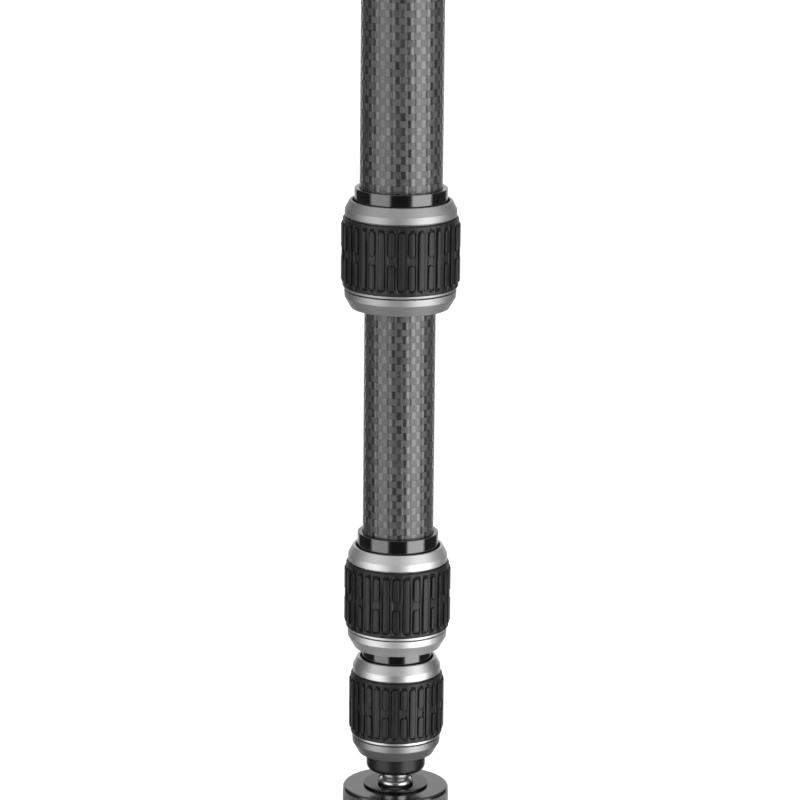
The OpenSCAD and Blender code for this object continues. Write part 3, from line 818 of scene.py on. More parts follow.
    @staticmethod
    def join(pieces: Sequence[Piece], name: str) -> Piece:
        """Joins pieces into the first one.

        Args:
            pieces: The pieces.
            name: Name of the result.

        Returns:
            The joined piece.
        """
        Bench.clear()
        for piece in pieces:
            piece.select_set(True)
        bpy.context.view_layer.objects.active = pieces[0]
        bpy.ops.object.join()
        Bench.rename(pieces[0], name)
        return pieces[0]

    @staticmethod
    def combine(piece: Piece, tool: Piece, operation: str = "DIFFERENCE") -> None:
        """Cuts a tool from a piece or welds it on, and removes the tool.

        Args:
            piece: The piece.
            tool: The tool.
            operation: DIFFERENCE or UNION.
        """
        Bench.modify(piece, "BOOLEAN", object=tool, operation=operation, solver="EXACT")
        Bench.discard(tool)

    @staticmethod
    def cut_round(piece: Piece, turns: Iterable[float], *tools: Piece) -> None:
        """Cuts copies of some tools from a piece at turns round the pole axis, and removes the tools.

        Args:
            piece: The piece.
            turns: Degrees round the axis.
            tools: The tools, at no turn.
        """
        for turn in turns:
            for tool in tools:
                Bench.combine(piece, Bench.copy(tool, turn))
        for tool in tools:
            Bench.discard(tool)

    @staticmethod
    def drill(
        radius: float, depth: float, centre: Sequence[float], axis: str = "Z", sides: int = 48
    ) -> Piece:
        """Makes a round cutting tool.

        Args:
            radius: Its radius.
            depth: Its length.
            centre: Its middle.
            axis: X, Y or Z.
            sides: Its faces.

        Returns:
            The tool.
        """
        turns = {"X": (0, math.pi / 2, 0), "Y": (math.pi / 2, 0, 0), "Z": (0, 0, 0)}
        Bench.clear()
        bpy.ops.mesh.primitive_cylinder_add(
            vertices=sides,
            radius=radius * MM,
            depth=depth * MM,
            location=[value * MM for value in centre],
            rotation=turns[axis],
        )
        tool = bpy.context.object
        Bench.place(tool)
        return tool

    @staticmethod
    def block(size: Sequence[float], centre: Sequence[float]) -> Piece:
        """Makes a box to shape or to cut with.

        Args:
            size: Its sides.
            centre: Its middle.

        Returns:
            The box.
        """
        Bench.clear()
        bpy.ops.mesh.primitive_cube_add(size=MM, location=[value * MM for value in centre], scale=size)
        box = bpy.context.object
        Bench.place(box)
        return box


def dress(piece: Piece, finish: Finish, body: str, slot: Slot, *nodes: str) -> None:
    """Gives a piece its finish, its body and the nodes that it stands for.

    Args:
        piece: The piece.
        finish: Its finish.
        body: The body that it rides on.
        slot: Its material slot; not used.
        nodes: Nodes that it replaces.
    """
    piece.data.materials.clear()
    piece.data.materials.append(finish.material())
    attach(piece, body)
    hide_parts(*nodes)
    log.info("%s rides on %s, %d faces", piece.name, body, len(piece.data.polygons))


def span(node: str) -> tuple[float, float]:
    """Gives a node's lowest and highest point in millimetres."""
    low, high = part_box(node)
    return low[2] / MM, high[2] / MM


def reach(node: str) -> float:
    """Gives the outer radius in millimetres of a node that is centred on the pole axis."""
    low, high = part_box(node)
    return (high[0] - low[0]) / 2 / MM


def ring(inner: float, outer: float, low: float, high: float) -> list[Point]:
    """Gives the profile of a plain ring, or of a disc where inner is 0."""
    return [(inner, low), (outer, low), (outer, high), (inner, high)]


def side_groove(radius: float, low: float, depth: float, slope: float, width: float) -> list[Point]:
    """Gives a groove in a side, from its lower edge at a radius and height upwards."""
    floor = radius - depth
    return [(radius, low), (floor, low + slope), (floor, low + width - slope), (radius, low + width)]


def top_groove(radius: float, height: float, depth: float, slope: float, width: float) -> list[Point]:
    """Gives a groove in a top face, from its outer edge at a radius and height inwards."""
    tipped = side_groove(height, -radius, depth, slope, width)
    return [(-across, up) for up, across in tipped]


def arc(centre: Point, radius: float, start: float, end: float, steps: int = 6) -> list[Point]:
    """Gives points on an arc of a profile.

    Args:
        centre: Radius and height of the arc's centre.
        radius: The arc's radius.
        start: First angle in degrees.
        end: Last angle in degrees.
        steps: Number of chords.

    Returns:
        The points.
    """
    angles = [math.radians(start + (end - start) * step / steps) for step in range(steps + 1)]
    return [(centre[0] + radius * math.cos(angle), centre[1] + radius * math.sin(angle)) for angle in angles]


@dataclass(frozen=True)
class Tube:
    """One carbon tube with softly broken ends.

    Attributes:
        number: 1 for the widest.
        body: The body that it rides on.
        finish: Its weave.
        edge: Bevel of its ends.
    """

    number: int
    body: str
    finish: CarbonWeave
    edge: float = 0.25

    def build(self) -> None:
        """Turns the tube."""
        node = f"tube_{self.number}"
        outer = reach(node)
        profile = ring(outer - TUBE_WALL, outer, *span(node))
        piece = Bench.lathe(f"carbon_tube_{self.number}", profile, bevel=self.edge, steps=TUBE_STEPS)
        dress(piece, self.finish, self.body, Slot.CARBON, node)


@dataclass(frozen=True)
class TwistLock:
    """A twist lock: gloss collar, silver sleeve, ribbed rubber grip and silver end ring.

    Attributes:
        number: 1 for the widest, as in the nodes' names.
        section: Body of the tube that carries the collar.
        repeats: Pairs of rib columns round the grip.
        turn: Angle of a long rib from the front.
        silver: Finish of the sleeve.
        end_silver: Finish of the end ring.
        collar_wall: Wall of the black collar.
        collar_edge: Bevel of the collar.
        mouth_gap: Gap between the collar and the sleeve's mouth.
        mouth_depth: Depth of that gap.
        rim_over: Radius of the sleeve's top over the tube's.
        cone_height: Height of the sleeve's cone.
        shoulder_over: Radius of the sleeve's shoulder over the tube's.
        shoulder_height: Height of the shoulder.
        shoulder_lean: How much the shoulder narrows towards its top.
        core_wall: Wall of the sleeve under the rubber.
        ring_over: Radius of the end ring over the tube's.
        ring_lean: How much the end ring narrows towards its chamfer.
        ring_height: Height of the end ring over its chamfer.
        chamfer_height: Height of the chamfer.
        chamfer_width: Width of the chamfer.
        spigot_wall: Gap over the collar that the end ring's spigot fills.
        spigot_height: Height of the spigot.
        lip_gap: Gap between the inner tube and the end ring's lip.
        lip_height: Height of the lip.
        seat_over: Radius of the dust seal's seat over the inner tube's.
        grip_wall: Wall of the rubber between its ribs.
        rubber_edge: Bevel of the rubber's ends.
        rib_proud: Height of the ribs over the rubber.
        rib_width: Width of a rib.
        rib_margin: Plain rubber above and below the ribs.
        rib_split: Gap between two short ribs.
        rib_round: Bevel of the ribs' faces.
        rib_root: How deep the ribs reach into the rubber.
        moat_width: Width of the moat round a rib.
        moat_depth: Depth of the moat.
        overcut: How far the tool for the moats stands out of the rubber.
    """

    number: int
    section: str
    repeats: int
    turn: float
    silver: Finish
    end_silver: Finish
    collar_wall: float = 1.65
    collar_edge: float = 0.3
    mouth_gap: float = 0.6
    mouth_depth: float = 2.4
    rim_over: float = 3.1
    cone_height: float = 2.8
    shoulder_over: float = 4.6
    shoulder_height: float = 2.1
    shoulder_lean: float = 0.05
    core_wall: float = 1.95
    ring_over: float = 4.65
    ring_lean: float = 0.15
    ring_height: float = 2.1
    chamfer_height: float = 3.5
    chamfer_width: float = 2.0
    spigot_wall: float = 0.3
    spigot_height: float = 4.6
    lip_gap: float = 0.5
    lip_height: float = 1.2
    seat_over: float = 2.3
    grip_wall: float = 1.6
    rubber_edge: float = 0.5
    rib_proud: float = 0.5
    rib_width: float = 1.9
    rib_margin: float = 1.9
    rib_split: float = 2.6
    rib_round: float = 0.2
    rib_root: float = 0.25
    moat_width: float = 0.2
    moat_depth: float = 0.2
    overcut: float = 0.4

    @property
    def base(self) -> float:
        """Height of the lock's lower end."""
        return span(f"lock_{self.number}_end_ring")[0]

    @property
    def tube(self) -> float:
        """Radius of the outer tube."""
        return reach(f"tube_{self.number}")

    @property
    def inner(self) -> float:
        """Radius of the tube that the lock clamps."""
        return reach(f"tube_{self.number + 1}")

    @property
    def collar_radius(self) -> float:
        """Radius of the black collar."""
        return self.tube + self.collar_wall

    @property
    def core(self) -> float:
        """Radius of the sleeve under the rubber."""
        return self.collar_radius + self.core_wall

    @property
    def ring_top(self) -> float:
        """Height of the end ring's upper edge."""
        return self.chamfer_height + self.ring_height

    @property
    def grip_span(self) -> tuple[float, float]:
        """Lowest and highest point of the rubber, over the lock's lower end."""
        low, high = span(f"lock_{self.number}_grip")
        return low - self.base, high - self.base

    @property
    def rubber(self) -> float:
        """Radius of the rubber between its ribs."""
        return self.core + self.grip_wall

    @property
    def knob(self) -> str:
        """Body of the turning pieces."""
        return f"twist_lock_{self.number}"

    def collar(self) -> None:
        """Turns the gloss black collar that shows over the sleeve."""
        node = f"lock_{self.number}_collar"
        profile = ring(self.tube + FIT, reach(node), *span(node))
        piece = Bench.lathe(f"lock_collar_{self.number}", profile, bevel=self.collar_edge)
        dress(piece, Finishes.GLOSS_BLACK, self.section, Slot.BLACK, node)

    def sleeve(self) -> None:
        """Turns the silver sleeve with its cone, shoulder, core and thin band."""
        node = f"lock_{self.number}_twist_sleeve"
        rubber_low = self.grip_span[0]
        low, high = (height - self.base for height in span(node))
        cone_low = high - self.cone_height
        shoulder_low = cone_low - self.shoulder_height
        shoulder = self.tube + self.shoulder_over
        flange = self.tube + self.ring_over
        mouth = self.collar_radius + self.mouth_gap
        mouth_floor = high - self.mouth_depth
        bore = self.collar_radius + LOOSE_FIT
        spigot_bore = self.collar_radius + self.spigot_wall + FIT
        spigot_top = self.ring_top + self.spigot_height + self.spigot_wall
        profile = [
            (spigot_bore, low),
            (flange, low),
            (flange, rubber_low),
            (self.core, rubber_low),
            (self.core, shoulder_low),
            (shoulder, shoulder_low),
            (shoulder - self.shoulder_lean, cone_low),
            (self.tube + self.rim_over, high),
            (mouth, high),
            (mouth, mouth_floor),
            (bore, mouth_floor),
            (bore, spigot_top),
            (spigot_bore, spigot_top),
        ]
        piece = Bench.lathe(f"lock_sleeve_{self.number}", profile, self.base, bevel=0.16)
        dress(piece, self.silver, self.knob, Slot.SILVER, node)

    def end_ring(self) -> None:
        """Turns the silver ring with its chamfer at the lock's lower end."""
        node = f"lock_{self.number}_end_ring"
        outer = self.tube + self.ring_over
        chamfer = outer - self.ring_lean
        spigot = self.collar_radius + self.spigot_wall
        spigot_top = self.ring_top + self.spigot_height
        seat = self.inner + self.seat_over
        bore = self.inner + self.lip_gap
        profile = [
            (bore, 0.0),
            (chamfer - self.chamfer_width, 0.0),
            (chamfer, self.chamfer_height),
            (outer, self.ring_top),
            (spigot, self.ring_top),
            (spigot, spigot_top),
            (seat, spigot_top),
            (seat, self.lip_height),
            (bore, self.lip_height),
        ]
        piece = Bench.lathe(f"lock_end_ring_{self.number}", profile, self.base, bevel=0.18)
        dress(piece, self.end_silver, self.knob, Slot.SILVER, node)

    def rib_columns(self, low: float, high: float) -> list[tuple[float, float, float]]:
        """Lists the ribs of one repeat.

        Args:
            low: Lower end of the rubber.
            high: Upper end of the rubber.

        Returns:
            Turn, lower end and length of each rib.
        """
        long = high - low - 2 * self.rib_margin
        short = (long - self.rib_split) / 2
        first = self.turn - 90
        second = first + 180 / self.repeats
        foot = low + self.rib_margin
        return [(first, foot, long), (second, foot, short), (second, high - self.rib_margin - short, short)]

    def spread(self, grow: float, start: float, depth: float, round_over: float, name: str) -> Piece:
        """Makes one repeat of pills and copies it round the grip.

        Args:
            grow: Width added on every side.
            start: Radius of the pills' backs.
            depth: Height of their faces over their backs.
            round_over: Bevel of their faces.
            name: Name of the joined pills.

        Returns:
            All the pills as one piece.
        """
        low, high = (height + self.base for height in self.grip_span)
        pills = []
        for turn, foot, length in self.rib_columns(low, high):
            pill = Bench.pill(name, self.rib_width + 2 * grow, length + 2 * grow, depth, round_over)
            for place in range(self.repeats):
                pills.append(Bench.copy(pill, turn + place * 360 / self.repeats, (start, 0, foot - grow)))
            Bench.discard(pill)
        return Bench.join(pills, name)

    def grip(self) -> None:
        """Turns the rubber, cuts a moat for each rib and welds the ribs on."""
        node = f"lock_{self.number}_grip"
        profile = ring(self.core + FIT, self.rubber, *self.grip_span)
        piece = Bench.lathe(f"lock_grip_{self.number}", profile, self.base, bevel=self.rubber_edge)
        floor = self.rubber - self.moat_depth
        moats = self.spread(self.moat_width, floor, self.moat_depth + self.overcut, 0.0, "moats")
        Bench.combine(piece, moats)
        height = self.rib_root + self.moat_depth + self.rib_proud
        ribs = self.spread(0.0, floor - self.rib_root, height, self.rib_round, "ribs")
        Bench.combine(piece, ribs, "UNION")
        Bench.smooth(piece, weighted=False)
        dress(piece, Finishes.RUBBER, self.knob, Slot.RUBBER, node)

    def build(self) -> None:
        """Makes the lock's four outer pieces."""
        self.collar()
        self.sleeve()
        self.end_ring()
        self.grip()


@dataclass(frozen=True)
class BallJoint:
    """The cap on the lowest tube, the chromed stud, the slotted washer and the knurled collar.

    Attributes:
        cap_edge: Radius of the cap's lower edge.
        cap_height: Height that the cap reaches over the tube's end.
        cap_floor: Thickness of the cap's floor.
        bead: Radius of the stud's bead.
        bead_half: Radius of the bead's rounding.
        bead_over: Height of the bead's middle over the collar.
        shank_inset: How much narrower the shank is than the bead.
        line_depth: Depth and height of the fine line over the bead.
        ball: Radius of the ball.
        neck: Radius of the neck over the ball.
        tang: Radius of the stud's end in the cap.
        plug_height: Height of the cap's plug in the tube.
        slot_width: Width of the washer's slot.
        slot_length: Length of that slot.
        collar_radius: Radius of the knurled collar.
        collar_bore: Radius of its bore.
        collar_edge: Radius of its top edge.
        collar_foot: Chamfer of its lower edge.
        knurl_teeth: Teeth of its knurl.
        knurl_depth: Depth of the knurl.
        mouth: Radius of the hole in its lip.
        mouth_edge: Chamfer of that hole.
        lip: Height of the lip.
    """

    cap_edge: float = 2.0
    cap_height: float = 5.8
    cap_floor: float = 2.0
    bead: float = 5.35
    bead_half: float = 1.6
    bead_over: float = 1.0
    shank_inset: float = 0.45
    line_depth: float = 0.5
    ball: float = 10.0
    neck: float = 4.0
    tang: float = 3.5
    plug_height: float = 12.0
    slot_width: float = 11.4
    slot_length: float = 18.4
    collar_radius: float = 17.0
    collar_bore: float = 13.58
    collar_edge: float = 0.9
    collar_foot: float = 0.6
    knurl_teeth: int = 132
    knurl_depth: float = 0.4
    mouth: float = 9.6
    mouth_edge: float = 0.3
    lip: float = 4.0

    def cap(self) -> None:
        """Turns the black cap under the lowest tube, with a rounded lower edge."""
        low, high = span("foot_cap")
        outer = reach("foot_cap")
        top = high - self.plug_height + self.cap_height
        floor = low + self.cap_floor
        tube = reach("tube_4")
        bore = tube - TUBE_WALL - FIT
        profile = [(self.tang + FIT, low)]
        profile += arc((outer - self.cap_edge, low + self.cap_edge), self.cap_edge, -90, 0, 8)
        profile += [(outer, top), (tube + FIT, top), (tube + FIT, floor), (bore, floor), (bore, high)]
        profile += [(self.tang + FIT, high)]
        piece = Bench.lathe("foot_cap_shell", profile, bevel=0.2)
        dress(piece, Finishes.SATIN_BLACK, "section_4", Slot.BLACK, "foot_cap")

    def stud(self) -> None:
        """Turns the chromed ball, neck, bead, fine line, shank and tang."""
        low, high = span("ball_stud")
        centre = low + self.ball
        bead_z = span("ball_lock_ring")[1] + self.bead_over
        shank = self.bead - self.shank_inset
        cap_low = span("foot_cap")[0]
        line = bead_z + self.bead_half
        line_top = line + self.line_depth
        angle = math.degrees(math.acos(self.neck / self.ball))
        profile = arc((0.0, centre), self.ball, -90, angle, 24)
        profile[0] = (0.0, low)
        profile += [(self.neck, bead_z - self.bead_half - 0.4)]
        profile += arc((self.bead - self.bead_half, bead_z), self.bead_half, -80, 80, 12)
        profile += [
            (shank - self.line_depth, line + 0.05),
            (shank - self.line_depth, line_top),
            (shank, line_top),
            (shank, cap_low),
            (self.tang, cap_low),
            (self.tang, high),
            (0.0, high),
        ]
        piece = Bench.lathe("chromed_stud", profile, bevel=0.12)
        dress(piece, Finishes.CHROME, "section_4", Slot.CHROME, "ball_stud")

    def washer(self) -> None:
        """Turns the disc and cuts its round-ended slot."""
        low, high = span("slotted_washer")
        piece = Bench.lathe("slotted_disc", ring(0.0, reach("slotted_washer"), low, high), bevel=0.15)
        depth = 8.0
        slot = Bench.pill("slot", self.slot_width, self.slot_length, depth, 0.0)
        slot.matrix_world = (
            Matrix.Translation(Vector((0, -self.slot_length / 2, low - depth / 2)) * MM)
            @ Matrix.Rotation(-math.pi / 2, 4, "X")
            @ Matrix.Rotation(-math.pi / 2, 4, "Z")
        )
        Bench.place(slot)
        Bench.combine(piece, slot)
        Bench.soften(piece, 0.12, segments=2, angle=50)
        Bench.smooth(piece)
        dress(piece, Finishes.DISC_BLACK, "swivel", Slot.BLACK, "slotted_washer")

    def collar(self) -> None:
        """Turns the wide collar, sinks the valleys of its knurl and rounds its top edge."""
        low, high = span("ball_lock_ring")
        radius, bore, foot = self.collar_radius, self.collar_bore, self.collar_foot
        knurl_top = high - self.collar_edge - 0.5
        profile = [(bore, low), (radius - foot, low), (radius, low + foot), (radius, low + foot + 0.3)]
        profile += [(radius, knurl_top), (radius, knurl_top + 0.35)]
        profile += arc((radius - self.collar_edge, high - self.collar_edge), self.collar_edge, 6, 90, 8)
        profile += [
            (self.mouth + self.mouth_edge, high),
            (self.mouth, high - self.mouth_edge),
            (self.mouth, high - self.lip),
            (bore, high - self.lip),
        ]
        steps = 4 * self.knurl_teeth
        piece = Bench.lathe("knurled_collar", profile, steps=steps)
        knurl_low = low + foot + 0.2

        def in_valley(at: Vector) -> bool:
            """Tests whether a vertex is in a valley of the knurl.

            Args:
                at: The vertex in millimetres.

            Returns:
                Whether it is.
            """
            if math.hypot(at.x, at.y) < radius - 0.01 or not knurl_low < at.z < knurl_top + 0.01:
                return False
            return round(math.atan2(at.y, at.x) / math.tau * steps) % 4 == 2

        Bench.edit(piece)
        Bench.pick(piece, in_valley)
        shrink = 1 - self.knurl_depth / radius
        bpy.ops.transform.resize(value=(shrink, shrink, 1), center_override=(0, 0, 0))
        Bench.close()
        piece.data.shade_flat()
        Bench.smooth(piece)
        dress(piece, Finishes.COLLAR_BLACK, "ball_lock_collar", Slot.BLACK, "ball_lock_ring")

    def build(self) -> None:
        """Makes the four visible pieces."""
        self.cap()
        self.stud()
        self.washer()
        self.collar()


@dataclass(frozen=True)
class FoldingBase:
    """The hub and its three fold-out legs with rubber feet.

    Attributes:
        slot_gap: Gap on each side of a leg in the hub.
        leg_width: Width of a leg.
        pivot_radius: Distance of a leg's pin from the pole axis.
        pivot_height: Height of the pin.
        lug: Radius of the leg round the pin.
        slot_roof: Height of the roof of a leg's slot.
        pin: Radius of the pin.
        foot_radius: Distance of a foot from the pole axis.
        foot_height: Height of a foot.
        foot_size: Radius of a foot.
        leg_tip: Distance of the leg's end from the pole axis.
        leg_tip_height: Height of the leg at its end.
        leg_rise: How much higher the leg is behind its foot.
        leg_edge: Bevel of the leg.
        channel_depth: Depth of the channel along the leg.
        channel_rim: Width of the rim beside the channel.
        screw_head: Radius of a foot screw's head and of the hub screw's shank.
        screw_shank: Radius of a foot screw's shank.
        tread: Depth of the grooves under a foot.
        hub_screw_head: Radius of the hub screw's head.
        hub_screw_seat: Height of that head's seat in the hub.
        hub_pad: Radius of the pad under the hub.
        hub_pad_depth: Depth of its recess.
        hub_edge: Chamfer of the hub.
    """

    slot_gap: float = 0.2
    leg_width: float = 14.0
    pivot_radius: float = 15.0
    pivot_height: float = 22.0
    lug: float = 5.0
    slot_roof: float = 27.3
    pin: float = 2.0
    foot_radius: float = 172.0
    foot_height: float = 5.0
    foot_size: float = 7.0
    leg_tip: float = 180.5
    leg_tip_height: float = 6.0
    leg_rise: float = 1.5
    leg_edge: float = 0.7
    channel_depth: float = 1.1
    channel_rim: float = 2.6
    screw_head: float = 3.0
    screw_shank: float = 1.5
    tread: float = 0.35
    hub_screw_head: float = 5.4
    hub_screw_seat: float = 4.5
    hub_pad: float = 8.4
    hub_pad_depth: float = 1.0
    hub_edge: float = 1.5

    def hub(self) -> None:
        """Turns the hub and cuts a slot and a pin hole for each leg."""
        low, high = span("base_hub")
        radius = reach("base_hub")
        seat = low + self.hub_screw_seat
        recess = low + self.hub_pad_depth
        profile = [
            (self.screw_head + FIT, seat),
            (self.hub_screw_head + FIT, seat),
            (self.hub_screw_head + FIT, recess),
            (self.hub_pad + FIT, recess),
            (self.hub_pad + FIT, low),
            (radius - self.hub_edge, low),
            (radius, low + self.hub_edge),
            *side_groove(radius, high - 3.4, 0.7, 0.4, 1.4),
            (radius, high - self.hub_edge),
            (radius - self.hub_edge, high),
            (self.screw_head + FIT, high),
        ]
        piece = Bench.lathe("leg_hub", profile, bevel=0.3, steps=192)
        inner = self.pivot_radius - self.lug - 0.3
        height = self.slot_roof - low + 2
        size = (radius, self.leg_width + 2 * self.slot_gap, height)
        slot = Bench.block(size, (inner + radius / 2, 0, self.slot_roof - height / 2))
        hole = Bench.drill(self.pin + FIT, 2 * radius + 4, (self.pivot_radius, 0, self.pivot_height), "Y")
        Bench.cut_round(piece, LEG_TURNS.values(), slot, hole)
        Bench.soften(piece, 0.25, segments=2, angle=60)
        Bench.smooth(piece)
        dress(piece, Finishes.CAST_BLACK, "base", Slot.BLACK, "base_hub")

    def bar(self) -> Piece:
        """Shapes one leg that points along +X: a tapered bar with a channel along its top.

        Returns:
            The leg.
        """
        back = self.foot_radius - self.foot_size - 1.5
        start = (self.leg_tip + back) / 2
        top = self.foot_height + self.leg_tip_height
        size = (self.leg_tip - back, self.leg_width, self.leg_tip_height)
        piece = Bench.block(size, (start, 0, self.foot_height + self.leg_tip_height / 2))
        Bench.edit(piece)
        Bench.pick(piece, lambda at: at.x < start and at.z > top - 0.01)
        bpy.ops.transform.translate(value=(0, 0, self.leg_rise * MM))
        Bench.pick(piece, lambda at: at.x < start)
        root = self.pivot_radius + self.lug + 1
        height = self.leg_tip_height + self.leg_rise
        grow = 2 * self.lug / height
        middle = self.foot_height + height / 2
        move = ((root - back) * MM, 0, (self.pivot_height - middle) * MM)
        bpy.ops.mesh.extrude_region_move(TRANSFORM_OT_translate={"value": move})
        centre = (root * MM, 0, self.pivot_height * MM)
        bpy.ops.transform.resize(value=(1, 1, grow), center_override=centre)
        last_x, last_half = root, self.lug
        for degrees in (90, 120, 145, 165):
            at_x = self.pivot_radius + self.lug * math.cos(math.radians(degrees))
            half = self.lug * math.sin(math.radians(degrees))
            step = ((at_x - last_x) * MM, 0, 0)
            bpy.ops.mesh.extrude_region_move(TRANSFORM_OT_translate={"value": step})
            centre = (at_x * MM, 0, self.pivot_height * MM)
            bpy.ops.transform.resize(value=(1, 1, half / last_half), center_override=centre)
            last_x, last_half = at_x, half
        bpy.ops.mesh.select_mode(type="FACE")
        Bench.pick_faces(piece, lambda at, normal: normal.z > 0.9 and root < at.x < back)
        bpy.ops.mesh.inset(thickness=self.channel_rim * MM)
        bpy.ops.mesh.inset(thickness=0.5 * MM, depth=-self.channel_depth * MM)
        Bench.close()
        Bench.soften(piece, self.leg_edge, segments=3, angle=28)
        pivot = (self.pivot_radius, 0, self.pivot_height)
        hole = Bench.drill(self.pin + LOOSE_FIT, 2 * self.leg_width, pivot, "Y")
        Bench.combine(piece, hole)
        socket = Bench.drill(self.screw_shank + FIT, 8.5, (self.foot_radius, 0, self.foot_height), sides=32)
        Bench.combine(piece, socket)
        Bench.smooth(piece)
        return piece

    def sole(self) -> Piece:
        """Turns one rubber foot on the axis, with two grip rings under it.

        Returns:
            The foot.
        """
        radius, top, tread = self.foot_size, self.foot_height, self.tread
        head, shank, seat = self.screw_head + FIT, self.screw_shank + FIT, 3.0
        profile = [
            (head, tread),
            (4.2, tread),
            (4.5, 0.0),
            (5.1, 0.0),
            (5.3, tread),
            (5.7, tread),
            (5.9, 0.0),
            (radius - 0.6, 0.0),
            (radius, 0.7),
            (radius - tread, 2.2),
            (radius - tread, 3.2),
            (radius, top - 0.6),
            (radius, top),
            (shank, top),
            (shank, seat),
            (head, seat),
        ]
        return Bench.lathe("foot", profile, bevel=0.2, steps=96)

    def build(self) -> None:
        """Makes the hub and copies one leg and one foot to the three places."""
        self.hub()
        bar, sole = self.bar(), self.sole()
        for letter, body in zip(LEG_TURNS, ("rear_leg", "left_leg", "right_leg")):
            turn = LEG_TURNS[letter]
            leg = Bench.copy(bar, turn)
            Bench.rename(leg, f"base_leg_{letter}")
            dress(leg, Finishes.CAST_BLACK, body, Slot.BLACK, f"leg_{letter}")
            foot = Bench.copy(sole, turn, (self.foot_radius, 0, 0))
            Bench.rename(foot, f"rubber_foot_{letter}")
            dress(foot, Finishes.PAD_RUBBER, body, Slot.RUBBER, f"foot_{letter}")
        for pattern in (bar, sole):
            Bench.discard(pattern)


